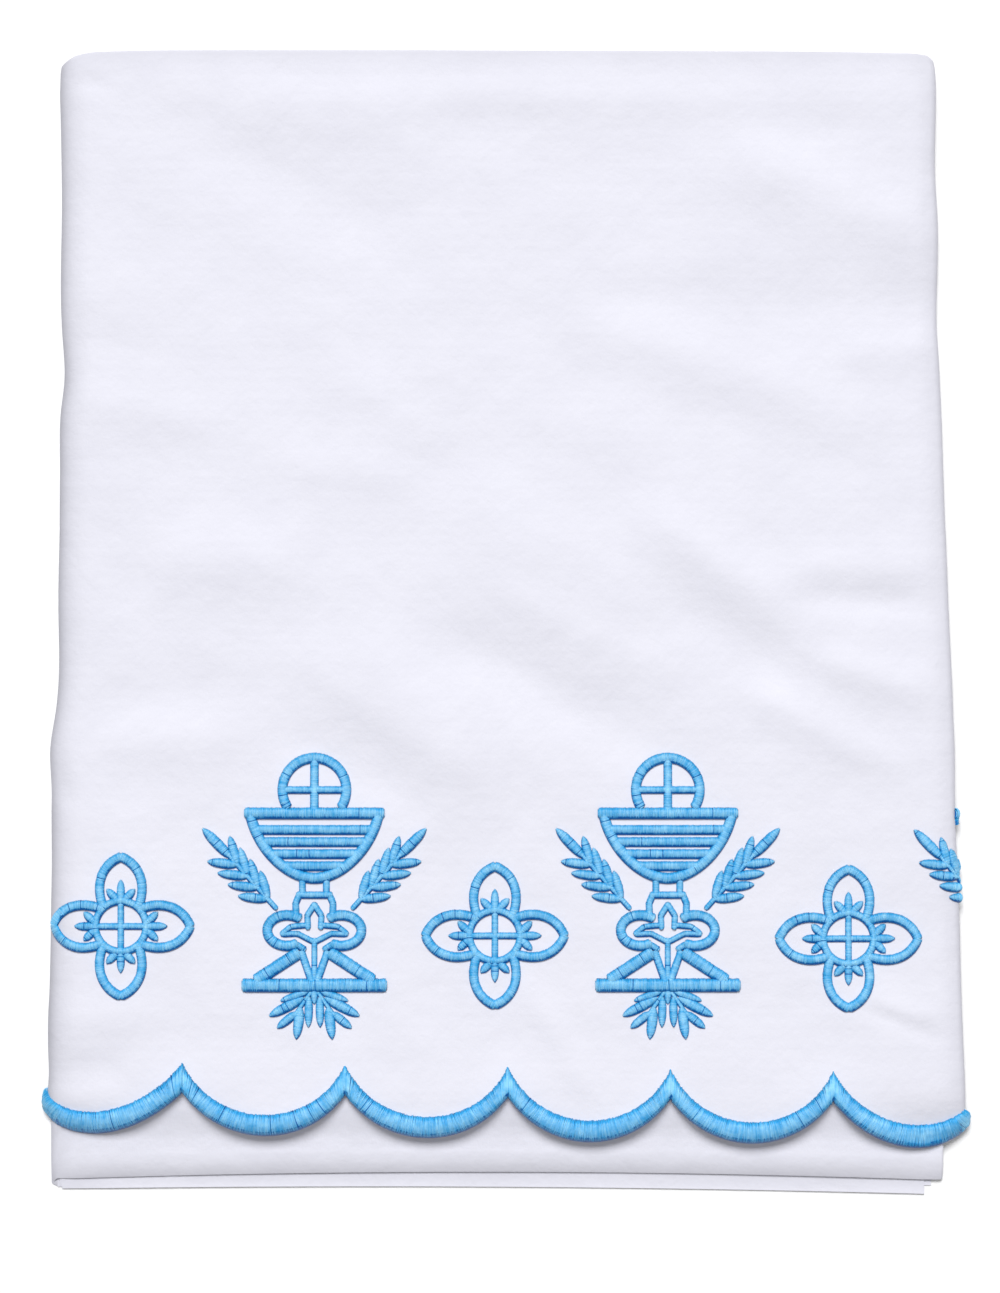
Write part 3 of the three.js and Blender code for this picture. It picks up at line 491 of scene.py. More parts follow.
# %% The way of the strip through the stack
WAY = [
    {"panel": "bottom", "leftward": True},
    {"fold": "left", "side": -1, "over": "top", "under": "bottom", "rising": True},
    {"panel": "top", "leftward": False},
    {"fold": "right", "side": 1, "over": "top", "under": "second", "rising": False},
    {"panel": "second", "leftward": True},
    {"fold": "inner", "side": -1, "over": "second", "under": "third", "rising": False},
    {"panel": "third", "leftward": False},
]
CLEAR_OF_FOLD = 0.4


def make_columns(in_top, in_hidden, round_fold):
    """So many columns to a scallop in the top panel and in the hidden ones, and round each fold."""
    numbers, shares = [], []
    for number, part in enumerate(WAY):
        if "fold" in part:
            share = np.arange(1, round_fold) / round_fold
        else:
            limits = panel_limits(part["panel"], REFERENCE_Y, 0)
            ends = [unfolded(part["panel"], limit) for limit in limits]
            step = SCALLOP / (in_top if part["panel"] == "top" else in_hidden)
            first = math.ceil((min(ends) - CUSP_X) / step + CLEAR_OF_FOLD)
            last = math.floor((max(ends) - CUSP_X) / step - CLEAR_OF_FOLD)
            share = (CUSP_X + np.arange(first, last + 1) * step - ends[0]) / (ends[1] - ends[0])
            share = np.sort(1 - share if part["leftward"] else share)
            share = np.concatenate([[0.0], share, [1.0]])
        numbers.append(np.full(len(share), number))
        shares.append(share)
    return np.concatenate(numbers), np.concatenate(shares)


def on_way(columns, panel_value, fold_value):
    """One value for each column, by the function for a panel or the one for a fold."""
    numbers, shares = columns
    values = np.zeros(len(shares))
    for number, part in enumerate(WAY):
        here = numbers == number
        if "fold" in part:
            angle = math.pi * (1 - shares[here] if part["rising"] else shares[here])
            values[here] = fold_value(part, angle, here)
        else:
            across = 1 - shares[here] if part["leftward"] else shares[here]
            values[here] = panel_value(part, across, here)
    return values


def mixed_on_way(columns, value_of):
    """A panel's own value, mixed round the folds between two panels."""
    return on_way(
        columns,
        lambda part, share, here: value_of(part["panel"]) + 0 * share,
        lambda part, angle, here: mix(value_of(part["over"]), value_of(part["under"]), angle / math.pi),
    )


def settled_shift(fold, settled):
    """Where the back layers have settled, the outer left fold is flatter but reaches as far."""
    shrink = STRIP - SHEET
    return shrink * settled if fold == "left" else 0.0


def followed(name, layer):
    return mix(*FOLLOWED[name], layer)


def row_points(columns, y, layer, depth, settled):
    """Points of the sheet in one row: y and settled are one value for each column."""

    def height(name, x, here):
        crease = followed(name, layer) * crease_at(x, y[here])
        return panel_height(name, depth, settled[here]) + crease

    def heights(part, here):
        middle = fold_middle(part["fold"], y[here], layer)
        over, under = height(part["over"], middle, here), height(part["under"], middle, here)
        return (over + under) / 2, (over - under) / 2

    def panel_x(part, share, here):
        left, right = panel_limits(part["panel"], y[here], layer)
        if part["panel"] in ("top", "bottom"):
            left = left - settled_shift("left", settled[here])
        return mix(left, right, share)

    def fold_x(part, angle, here):
        middle = fold_middle(part["fold"], y[here], layer) - settled_shift(part["fold"], settled[here])
        return middle + part["side"] * heights(part, here)[1] * np.sin(angle)

    x = on_way(columns, panel_x, fold_x)

    def panel_z(part, share, here):
        z = height(part["panel"], x[here], here) * swell_at(x[here], y[here])
        if part["panel"] == "top":
            z = z + (1 - layer) * lift_at(x[here], y[here])
        return z

    def fold_z(part, angle, here):
        middle, radius = heights(part, here)
        return (middle + radius * np.cos(angle)) * swell_at(x[here], y[here])

    return np.column_stack([x, y, on_way(columns, panel_z, fold_z)])


print("the strip's way has", len(WAY), "parts")

# %% [markdown]
# ## Painted shade at the folds and the hem
# The cotton is painted darker at the side folds, along the top fold and along the plain hem, as
# shade. Painting that by hand would miss the folds, so every point of the mesh carries a painted
# shade value, worked out from how far it lies from an edge. The material reads it later.

# %% Painted shade at the folds and the hem
# How dark the shade painted on the cotton is at each edge, and how fast it fades in millimetres
PAINTED_FOLD_SHADE = {
    "left": (0.44, 3.6), "left_soft": (0.08, 8.0), "right": (0.16, 2.0),
    "top": (0.26, 1.3), "top_soft": (0.07, 8.0), "hem": (0.14, 2.0),
}
# How far the painted shade of the hem is kept off the front layer
FRONT_CLEAR_OF_HEM = 30.0


def painted_fold_shade(points, layer):
    """Painted shade: how much darker the cotton is painted near its folds and its plain hem."""
    x, y = points[:, 0], points[:, 1]
    distance = {
        "left": x - read(SIDE_FOLDS, "y", y, "left"),
        "right": read(SIDE_FOLDS, "y", y, "right") - x,
        "top": read(TOP_EDGE, "x", x, "y") - y,
        "hem": y - hem_at("top", x) + FRONT_CLEAR_OF_HEM * (1 - layer),
    }
    tone = np.zeros(len(x))
    for edge, (depth, reach) in PAINTED_FOLD_SHADE.items():
        away = np.abs(distance[edge.split("_")[0]])
        tone = np.maximum(tone, depth * np.exp(-away / reach))
    return tone


print("tone is set at", len(PAINTED_FOLD_SHADE), "kinds of edge")

# %% [markdown]
# ## The rows of the sheet
# A row is a line of points along the strip's way at one place of the section. The rows run from the
# scalloped edge up the front layer, round the top fold, and down the back layer to the plain hem.
# Creases need close rows in front, and a plain back does with few, which keeps the mesh light.

# %% The rows of the sheet
SETTLING = table("y settled", [(-219, 1), (-215, 0.6), (-211, 0), (0, 0), (240, 0)])
EDGE_COLUMNS = make_columns(34, 14, 12)
FRONT_COLUMNS = make_columns(28, 4, 12)
BACK_COLUMNS = make_columns(16, 4, 8)
INNER_COLUMNS = make_columns(12, 4, 6)
BACK_BEND_Y = -188.0


def row_lines(columns):
    """Heights of the scalloped edge, the start of the top fold and the plain hem."""
    flat = np.full(len(columns[1]), REFERENCE_Y)
    nothing = np.zeros(len(flat))
    x = row_points(columns, flat, 0, STRIP, nothing)[:, 0]
    along = on_way(
        columns,
        lambda part, share, here: unfolded(part["panel"], x[here]),
        lambda part, angle, here: mix(
            unfolded(part["over"], fold_middle(part["fold"], REFERENCE_Y, 0)),
            unfolded(part["under"], fold_middle(part["fold"], REFERENCE_Y, 0)),
            angle / math.pi,
        ),
    )
    edge = border_outer(x, along) - CLOTH_MARGIN
    x_top = row_points(columns, nothing + NEAR_TOP_Y, 0, STRIP, nothing)[:, 0]
    turn = read(TOP_EDGE, "x", x_top, "y") - mixed_on_way(columns, lambda name: PANELS[name]["back"])
    hem = on_way(
        columns,
        lambda part, share, here: hem_at(part["panel"], x[here]),
        lambda part, angle, here: mix(
            hem_at(part["over"], x[here]), hem_at(part["under"], x[here]), angle / math.pi
        ),
    )
    return along, edge, turn - STRIP / 2, hem


def section_rows(face, front_steps, turn_steps, back_steps, hem_steps):
    """Rows of one face round the section, each with its columns, heights, layer and depth."""
    rows = []
    front_depth, back_depth = FRONT_DEPTH[face], BACK_DEPTH[face]
    main = FRONT_COLUMNS if face == "outer" else INNER_COLUMNS
    behind = BACK_COLUMNS if face == "outer" else INNER_COLUMNS
    radius = STRIP / 2 if face == "outer" else AIR / 2

    def add(columns, height_of, layer, depth, order, top_share=0.0):
        along, edge, turn, hem = row_lines(columns)
        y = height_of(edge, turn, hem)
        settled = np.interp(y, SETTLING["y"], SETTLING["settled"]) * layer
        points = row_points(columns, y, layer, depth, settled)
        down = mix(y, 2 * turn - y, top_share)
        rows.append({
            "points": points,
            "places": columns[0] + columns[1],
            "cloth_place": np.column_stack([along, down]),
            # The painted shade at each point, near the folds and the hem
            "tone": painted_fold_shade(points, layer),
            "order": order,
        })

    for step in range(front_steps):
        share = step / front_steps
        columns = EDGE_COLUMNS if step == 0 else main
        add(columns, lambda edge, turn, hem: mix(edge, turn, share), 0, front_depth, share)
    for step in range(turn_steps + 1):
        angle = math.pi * step / turn_steps
        depth = STRIP / 2 + radius * math.cos(angle)
        add(main, lambda edge, turn, hem: turn + radius * math.sin(angle),
            step / turn_steps, depth, 1 + step / turn_steps, 0.5)
    for step in range(1, back_steps):
        share = step / back_steps
        add(behind, lambda edge, turn, hem: mix(turn, BACK_BEND_Y, share), 1, back_depth, 2 + share, 1)
    for step in range(hem_steps + 1):
        share = step / hem_steps
        add(behind, lambda edge, turn, hem: mix(BACK_BEND_Y, hem, share), 1, back_depth, 3 + share, 1)
    return rows


print("the front has", len(FRONT_COLUMNS[0]), "columns and the back", len(BACK_COLUMNS[0]))

# %% [markdown]
# ## Joining the rows
# Two rows that lie side by side are joined by faces. Where they have the same columns the faces have
# four corners, and where they differ a triangle bridges the step. The outside and the inside of the
# sheet are joined in this way too, at both edges and both ends, so the mesh is closed.

# %% Joining the rows
ROW_STEPS = {"outer": (176, 8, 24, 16), "inner": (60, 4, 24, 8)}
SHARP_EDGE = math.radians(50)
SAME_PLACE = 1e-6


def join_rows(a, b, places_a, places_b):
    """Faces between two rows of points that may have different columns."""
    faces = []
    i = j = 0
    while i + 1 < len(a) or j + 1 < len(b):
        next_a = places_a[i + 1] if i + 1 < len(a) else math.inf
        next_b = places_b[j + 1] if j + 1 < len(b) else math.inf
        if abs(next_a - next_b) < SAME_PLACE:
            faces.append((a[i], a[i + 1], b[j + 1], b[j]))
            i, j = i + 1, j + 1
        elif next_a < next_b:
            faces.append((a[i], a[i + 1], b[j]))
            i += 1
        else:
            faces.append((a[i], b[j + 1], b[j]))
            j += 1
    return faces


def sew_sheet():
    """The folded sheet as one closed mesh, with its place on the flat cloth as its UV map."""
    faces = []
    rows = {face: section_rows(face, *steps) for face, steps in ROW_STEPS.items()}
    points, cloth_places = [], []
    for face in rows:
        for row in rows[face]:
            first = sum(len(part) for part in points)
            row["index"] = list(range(first, first + len(row["points"])))
            points.append(row["points"])
            cloth_places.append(row["cloth_place"])
    for face, turned in (("outer", False), ("inner", True)):
        for low, high in zip(rows[face], rows[face][1:]):
            band = join_rows(low["index"], high["index"], low["places"], high["places"])
            faces += [tuple(reversed(corners)) for corners in band] if turned else band
    outer, inner = rows["outer"], rows["inner"]
    faces += join_rows(inner[0]["index"], outer[0]["index"], inner[0]["places"], outer[0]["places"])
    faces += join_rows(outer[-1]["index"], inner[-1]["index"], outer[-1]["places"], inner[-1]["places"])
    for end, (a, b) in ((0, (outer, inner)), (-1, (inner, outer))):
        ends = [[row["index"][end] for row in side] for side in (a, b)]
        faces += join_rows(*ends, [row["order"] for row in a], [row["order"] for row in b])

    sheet = make_mesh("folded_cloth", np.concatenate(points) * MM, faces)
    # The painted shade of every point, which the cotton material reads
    tones = np.concatenate([row["tone"] for face in rows for row in rows[face]])
    sheet.data.attributes.new("painted_fold_shade", "FLOAT", "POINT").data.foreach_set("value", tones)
    places = np.concatenate(cloth_places) * MM
    uv = sheet.data.uv_layers.new(name="on_cloth")
    corner_points = np.zeros(len(sheet.data.loops), int)
    sheet.data.loops.foreach_get("vertex_index", corner_points)
    uv.data.foreach_set("uv", places[corner_points].ravel())
    sheet.data.shade_smooth()
    sheet.data.set_sharp_from_angle(angle=SHARP_EDGE)
    return sheet


folded_cloth = sew_sheet()
triangles = sum(len(face.vertices) - 2 for face in folded_cloth.data.polygons)
print("folded cloth:", triangles, "triangles")

# %% [markdown]
# ## White cotton
# The cloth is a plain weave of fine cotton: nearly white, a little blue, dull, with a soft sheen.
# Its threads are too fine to see from here, but faint bands of thicker and thinner ones show. They
# are two crossed waves in the cloth's own UV map, so they follow the folds. Broad noise gives the
# slight unevenness of washed and ironed cotton, and painted shade makes it darker near the folds
# and the hem.

# %% White cotton
BAND_PITCH = 0.0045
COTTON = [(0.735, 0.734, 0.814, 1), (0.765, 0.764, 0.844, 1)]
# The dark colour that the cotton is painted towards near the folds and the hem, as shade
FOLD_SHADE_COLOUR = (0, 0, 0.02, 1)


def add_node(tree, kind, **sockets):
    """A shader node with the values of its sockets."""
    made = tree.nodes.new(kind)
    for name, value in sockets.items():
        made.inputs[name.replace("_", " ")].default_value = value
    return made


def give(tree, socket, value):
    """Sets a number on a socket, or links another node's output to it."""
    if isinstance(value, (int, float)):
        socket.default_value = value
    else:
        tree.links.new(value, socket)


def calculate(tree, operation, *values):
    """A Math node's output. Each value is a number or another node's output."""
    node = tree.nodes.new("ShaderNodeMath")
    node.operation = operation
    for socket, value in zip(node.inputs, values):
        give(tree, socket, value)
    return node.outputs[0]


def cotton_material():
    material, tree, shader = new_material("white_cotton")
    link = tree.links.new
    uv = tree.nodes.new("ShaderNodeUVMap")
    uv.uv_map = "on_cloth"
    waves = []
    for direction in ("X", "Y"):
        scale = math.pi / (10 * BAND_PITCH)
        wave = add_node(tree, "ShaderNodeTexWave", Scale=scale, Distortion=0.6, Detail_Scale=3.0)
        wave.bands_direction = direction
        link(uv.outputs["UV"], wave.inputs["Vector"])
        waves.append(wave.outputs["Fac"])
    bands = calculate(tree, "MULTIPLY", *waves)
    rumple = add_node(tree, "ShaderNodeTexNoise", Scale=85.0, Detail=5.0, Roughness=0.55)
    fuzz = add_node(tree, "ShaderNodeTexNoise", Scale=900.0, Detail=3.0, Roughness=0.6)
    tint = add_node(tree, "ShaderNodeTexNoise", Scale=24.0, Detail=4.0, Roughness=0.6)
    for noise in (rumple, fuzz, tint):
        link(uv.outputs["UV"], noise.inputs["Vector"])
    shades = tree.nodes.new("ShaderNodeValToRGB")
    for shade, position, colour in zip(shades.color_ramp.elements, (0.3, 0.7), COTTON):
        shade.position, shade.color = position, colour
    link(tint.outputs["Fac"], shades.inputs["Fac"])
    # Painted shade: the cotton's colour is mixed towards a dark one near the folds and the hem
    pressed = tree.nodes.new("ShaderNodeAttribute")
    pressed.attribute_name = "painted_fold_shade"
    darker = tree.nodes.new("ShaderNodeMix")
    darker.data_type = "RGBA"
    colours = [socket for socket in darker.inputs if socket.type == "RGBA"]
    colours[1].default_value = FOLD_SHADE_COLOUR
    link(pressed.outputs["Fac"], darker.inputs[0])
    link(shades.outputs["Color"], colours[0])
    darkened = next(socket for socket in darker.outputs if socket.type == "RGBA")
    link(darkened, shader.inputs["Base Color"])
    previous = None
    for height, strength, depth in (
        (rumple.outputs["Fac"], 0.5, 0.0012),
        (fuzz.outputs["Fac"], 0.35, 0.00018),
        (bands, 0.3, 0.00009),
    ):
        bump = add_node(tree, "ShaderNodeBump", Strength=strength, Distance=depth)
        link(height, bump.inputs["Height"])
        if previous:
            link(previous.outputs["Normal"], bump.inputs["Normal"])
        previous = bump
    link(previous.outputs["Normal"], shader.inputs["Normal"])
    shader.inputs["Roughness"].default_value = 0.85
    shader.inputs["Specular IOR Level"].default_value = 0.25
    shader.inputs["Sheen Weight"].default_value = 0.12
    shader.inputs["Sheen Roughness"].default_value = 0.5
    return material


folded_cloth.data.materials.append(cotton_material())
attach(folded_cloth, "root")
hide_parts("cloth")
print("bands of thread", BAND_PITCH * 1000, "mm apart")

# %% [markdown]
# ## Blue thread
# Satin stitch is thread laid side by side over a padded line. The thread is glossy cotton in one
# blue. How light it looks differs from stitch to stitch, so every stitch carries its own tone,
# which the material reads. Towards its ends a stitch is painted darker, as shade where it dips into
# the cloth. The padding under it is the same thread, painted darker as shade.

# %% Blue thread
BLUES = [(0.1, (0.0, 0.11, 0.40, 1)), (0.6, (0.045, 0.43, 0.81, 1)), (0.93, (0.37, 0.74, 0.98, 1))]
PATCH_SHARE = 0.5
# How much darker a stitch is painted towards its ends, as shade, and how suddenly
SHADE_PAINTED_AT_ENDS, SHADE_PAINTED_AT_ENDS_POWER = 0.32, 3.0


def thread_material():
    material, tree, shader = new_material("blue_thread")
    link = tree.links.new
    tone = tree.nodes.new("ShaderNodeAttribute")
    tone.attribute_name = "tone"
    coordinates = tree.nodes.new("ShaderNodeTexCoord")
    patches = add_node(tree, "ShaderNodeTexNoise", Scale=260.0, Detail=3.0, Roughness=0.6)
    link(coordinates.outputs["Object"], patches.inputs["Vector"])
    varied = calculate(tree, "MULTIPLY_ADD", patches.outputs["Fac"], PATCH_SHARE, tone.outputs["Fac"])
    # Painted shade: each stitch's tone is lowered towards its ends
    to_side = tree.nodes.new("ShaderNodeAttribute")
    to_side.attribute_name = "to_side"
    painted_end_shade = calculate(tree, "POWER", to_side.outputs["Fac"], SHADE_PAINTED_AT_ENDS_POWER)
    shaded = calculate(tree, "MULTIPLY_ADD", painted_end_shade, -SHADE_PAINTED_AT_ENDS, varied)
    shades = tree.nodes.new("ShaderNodeValToRGB")
    shades.color_ramp.elements.new(BLUES[1][0])
    for shade, (position, colour) in zip(shades.color_ramp.elements, BLUES):
        shade.position, shade.color = position, colour
    link(shaded, shades.inputs["Fac"])
    link(shades.outputs["Color"], shader.inputs["Base Color"])
    shader.inputs["Roughness"].default_value = 0.3
    shader.inputs["Specular IOR Level"].default_value = 0.35
    return material


blue_thread = thread_material()
print("one blue, lighter and darker from stitch to stitch")

# %% [markdown]
# ## One stitch
# A stitch is one thread that arches from one side of the padding to the other. It is repeated
# thousands of times, so it has only twenty faces: seven stations of three points. It is one unit
# wide, from -1 to 1 across the line, and one unit high, and each use of it is scaled.

# %% One stitch
STATIONS = 7
THREAD_HALF = 0.66
THREAD_DEPTH = 0.16
ARCH_POWER = 0.9


def make_stitch():
    points, faces = [], []
    for station in range(STATIONS):
        turn = math.pi * (station / (STATIONS - 1) - 0.5)
        across, height = math.sin(turn), max(math.cos(turn), 0.0) ** ARCH_POWER
        for side, drop in ((-THREAD_HALF, THREAD_DEPTH), (0, 0), (THREAD_HALF, THREAD_DEPTH)):
            points.append((side, across, height - drop))
    for station in range(STATIONS - 1):
        for k in range(3):
            a, b = station * 3 + k, station * 3 + (k + 1) % 3
            faces.append((a, b, b + 3, a + 3))
    faces += [(2, 1, 0), tuple(len(points) - 3 + k for k in range(3))]
    stitch = make_mesh("stitch_shape", points, faces)
    to_side = [abs(across) for side, across, height in points]
    stitch.data.attributes.new("to_side", "FLOAT", "POINT").data.foreach_set("value", to_side)
    shape = bmesh.new()
    shape.from_mesh(stitch.data)
    bmesh.ops.recalc_face_normals(shape, faces=shape.faces)
    shape.to_mesh(stitch.data)
    shape.free()
    stitch.data.shade_smooth()
    return stitch


stitch_shape = make_stitch()
print("a stitch has", len(stitch_shape.data.polygons), "faces")

# %% [markdown]
# ## Wiring a tree
# Satin stitch repeats thousands of times along a line, so a tree of Geometry Nodes sews it. Most of
# the tree's nodes only do a sum, and wired one by one they would hide what the tree does. So a few
# helpers make a node, give it its values and hand back its output.

# %% Wiring a tree
class Wiring:
    """Makes and wires the nodes of one tree. A value is a number or another node's output."""

    def __init__(self, tree):
        self.tree = tree
        self.new, self.link = tree.nodes.new, tree.links.new
        self.given = tree.nodes.new("NodeGroupInput").outputs

    def number(self, operation, *values):
        return calculate(self.tree, operation, *values)

    def attribute(self, name):
        """What the line's points carry under a name."""
        named = self.new("GeometryNodeInputNamedAttribute")
        named.inputs["Name"].default_value = name
        return named.outputs["Attribute"]

    def uneven(self, low, high, offset):
        """A random value for each stitch. The offset from the seed sets each use apart."""
        node = self.new("FunctionNodeRandomValue")
        node.data_type = "FLOAT"
        floats = [socket for socket in node.inputs if socket.type == "VALUE"]
        for socket, value in zip(floats, (low, high)):
            socket.default_value = value
        self.link(self.number("ADD", self.given["Seed"], offset), node.inputs["Seed"])
        return next(socket for socket in node.outputs if socket.type == "VALUE")

    def vector(self, *values):
        node = self.new("ShaderNodeCombineXYZ")
        for socket, value in zip(node.inputs, values):
            give(self.tree, socket, value)
        return node.outputs[0]

    def every(self, curve, length):
        """A curve with a point at every length along it."""
        node = self.new("GeometryNodeResampleCurve")
        node.mode = "LENGTH"
        self.link(curve, node.inputs["Curve"])
        give(self.tree, node.inputs["Length"], length)
        return node.outputs["Curve"]

    def with_tone(self, geometry, tone, domain):
        """Geometry that carries the tone which the thread's material reads."""
        node = self.new("GeometryNodeStoreNamedAttribute")
        node.data_type, node.domain = "FLOAT", domain
        node.inputs["Name"].default_value = "tone"
        self.link(geometry, node.inputs["Geometry"])
        give(self.tree, node.inputs["Value"], tone)
        return node.outputs[0]


print("helpers:", [name for name in vars(Wiring) if not name.startswith("_")])

# %% [markdown]
# ## The padding
# Under satin stitch lies a padding of thread, which makes it stand up from the cloth. Here it is half
# a disc drawn along the line and pressed down to the height of the relief. It is painted darker, as
# shade, and lies a little nearer than the stitches, so that it peeps out on their near side as a dark
# line of painted shade.

# %% The padding
PADDING_STEP = 0.0012
PADDING_CORNERS = 7
# The padding is set a little nearer and painted darker, so that it shows as a dark line of painted
# shade along the stitches' near edge
PADDING_NEARER = 0.0003
PADDING_HEIGHT = 0.84
PADDING_PAINTED_SHADE = -0.12


def lay_padding(wire, line, relief):
    """The padding along a line, in a tree of nodes."""
    section = wire.new("GeometryNodeCurveArc")
    section.mode = "RADIUS"
    section.inputs["Resolution"].default_value = PADDING_CORNERS
    section.inputs["Radius"].default_value = 1.0
    section.inputs["Start Angle"].default_value = math.pi
    section.inputs["Sweep Angle"].default_value = math.pi
    section.inputs["Connect Center"].default_value = True
    padding = wire.new("GeometryNodeCurveToMesh")
    padding.inputs["Fill Caps"].default_value = True
    wire.link(wire.every(line, PADDING_STEP), padding.inputs["Curve"])
    wire.link(section.outputs["Curve"], padding.inputs["Profile Curve"])
    wire.link(wire.attribute("half_width"), padding.inputs["Scale"])
    position = wire.new("GeometryNodeInputPosition")
    apart = wire.new("ShaderNodeSeparateXYZ")
    wire.link(position.outputs[0], apart.inputs[0])
    x, y, z = apart.outputs
    pressed = wire.number("DIVIDE", wire.number("MULTIPLY", z, relief), wire.attribute("half_width"))
    pressed = wire.number("MULTIPLY_ADD", pressed, PADDING_HEIGHT, wire.attribute("lift"))
    nearer = wire.number("SUBTRACT", y, PADDING_NEARER)
    press = wire.new("GeometryNodeSetPosition")
    wire.link(padding.outputs["Mesh"], press.inputs["Geometry"])
    wire.link(wire.vector(x, nearer, pressed), press.inputs["Position"])
    return wire.with_tone(press.outputs[0], PADDING_PAINTED_SHADE, "POINT")


print("the padding has a corner every", round(PADDING_STEP / MM, 1), "mm")

# %% [markdown]
# ## Stitches along a line
# One stitch is set at every step of the line and turned across it. No two stitches of hand or machine
# work are quite the same, so their slant, reach, height and tone differ a little. A few are nicks:
# lower and darker, where a thread has sunk in.

# %% Stitches along a line
STITCH_SLANTS = (-0.03, 0.03)
STITCH_HEIGHTS = (0.93, 1.07)
STITCH_TONES = (0.46, 0.60)
NICK_LOWER, NICK_DARKER = 0.12, 0.45


def set_stitches(wire, line, relief):
    """Stitches across a line, in a tree of nodes."""
    pitch = wire.given["Pitch"]
    raise_up = wire.new("GeometryNodeSetPosition")
    wire.link(wire.every(line, pitch), raise_up.inputs["Geometry"])
    wire.link(wire.vector(0.0, 0.0, wire.attribute("lift")), raise_up.inputs["Offset"])
    tangent = wire.new("GeometryNodeInputTangent")
    across = wire.new("FunctionNodeAlignRotationToVector")
    across.axis, across.pivot_axis = "X", "Z"
    wire.link(tangent.outputs[0], across.inputs["Vector"])
    slant = wire.new("FunctionNodeAxisAngleToRotation")
    slant.inputs["Axis"].default_value = (0, 0, 1)
    angle = wire.number("ADD", wire.attribute("slant"), wire.uneven(*STITCH_SLANTS, 1))
    wire.link(angle, slant.inputs["Angle"])
    turned = wire.new("FunctionNodeRotateRotation")
    turned.rotation_space = "LOCAL"
    wire.link(across.outputs[0], turned.inputs["Rotation"])
    wire.link(slant.outputs[0], turned.inputs["Rotate By"])
    is_nick = wire.number("LESS_THAN", wire.uneven(0.0, 1.0, 5), wire.given["Nick Share"])
    spread = wire.number("MULTIPLY", wire.given["Unevenness"], wire.uneven(-1.0, 1.0, 2))
    reach = wire.number("MULTIPLY", wire.attribute("reach"), wire.number("ADD", spread, 1.0))
    height = wire.number("MULTIPLY", relief, wire.uneven(*STITCH_HEIGHTS, 3))
    height = wire.number("MULTIPLY", height, wire.number("MULTIPLY_ADD", is_nick, -NICK_LOWER, 1.0))
    stitch = wire.new("GeometryNodeObjectInfo")
    wire.link(wire.given["Stitch"], stitch.inputs["Object"])
    sew_on = wire.new("GeometryNodeInstanceOnPoints")
    wire.link(raise_up.outputs[0], sew_on.inputs["Points"])
    wire.link(stitch.outputs["Geometry"], sew_on.inputs["Instance"])
    wire.link(turned.outputs[0], sew_on.inputs["Rotation"])
    wire.link(wire.vector(pitch, reach, height), sew_on.inputs["Scale"])
    tone = wire.number("MULTIPLY_ADD", is_nick, -NICK_DARKER, wire.uneven(*STITCH_TONES, 4))
    return wire.with_tone(sew_on.outputs[0], tone, "INSTANCE")


print("tones of the stitches:", STITCH_TONES, "and darker by", NICK_DARKER, "at a nick")

# %% [markdown]
# ## Rows of satin stitch
# The tree sews along any line with its padding and its stitches. The line's points carry half its
# width, how far a stitch reaches, its slant, and its lift over lines sewn before it. A wider line
# stands up higher. The seed is fixed, so every run is the same.

# %% Rows of satin stitch
PITCH = 0.42
SATIN_INPUTS = [
    ("Lines", "NodeSocketGeometry", None),
    ("Stitch", "NodeSocketObject", None),
    ("Thread", "NodeSocketMaterial", None),
    ("Pitch", "NodeSocketFloat", PITCH * MM),
    ("Base Relief", "NodeSocketFloat", 0.0007),
    ("Relief Share", "NodeSocketFloat", 0.45),
    ("Unevenness", "NodeSocketFloat", 0.05),
    ("Nick Share", "NodeSocketFloat", 0.02),
    ("Seed", "NodeSocketInt", 3),
]


def satin_tree():
    """The tree that turns lines with widths into padded rows of stitches, and its sockets."""
    tree = bpy.data.node_groups.new("satin_stitch", "GeometryNodeTree")
    sockets = {}
    for name, kind, value in SATIN_INPUTS:
        socket = tree.interface.new_socket(name, in_out="INPUT", socket_type=kind)
        if value is not None:
            socket.default_value = value
        sockets[name] = socket.identifier
    tree.interface.new_socket("Sewn", in_out="OUTPUT", socket_type="NodeSocketGeometry")

    wire = Wiring(tree)
    to_curve = wire.new("GeometryNodeMeshToCurve")
    wire.link(wire.given["Lines"], to_curve.inputs["Mesh"])
    line = to_curve.outputs["Curve"]
    share, base = wire.given["Relief Share"], wire.given["Base Relief"]
    relief = wire.number("MULTIPLY_ADD", wire.attribute("half_width"), share, base)
    both = wire.new("GeometryNodeJoinGeometry")
    wire.link(lay_padding(wire, line, relief), both.inputs[0])
    wire.link(set_stitches(wire, line, relief), both.inputs[0])
    real = wire.new("GeometryNodeRealizeInstances")
    wire.link(both.outputs[0], real.inputs[0])
    dye = wire.new("GeometryNodeSetMaterial")
    wire.link(real.outputs[0], dye.inputs["Geometry"])
    wire.link(wire.given["Thread"], dye.inputs["Material"])
    wire.link(dye.outputs[0], wire.new("NodeGroupOutput").inputs[0])
    return tree, sockets


satin, satin_sockets = satin_tree()
print("the tree has", len(satin.nodes), "nodes and sets a stitch every", PITCH, "mm")

# %% [markdown]
# ## Sewing a motif
# A motif is a list of strokes. Each stroke is drawn flat in millimetres, sewn flat by the tree, and
# then the finished threads are laid on the cloth: every point goes to the height of the cloth
# under it, and past a side fold it goes round the fold.

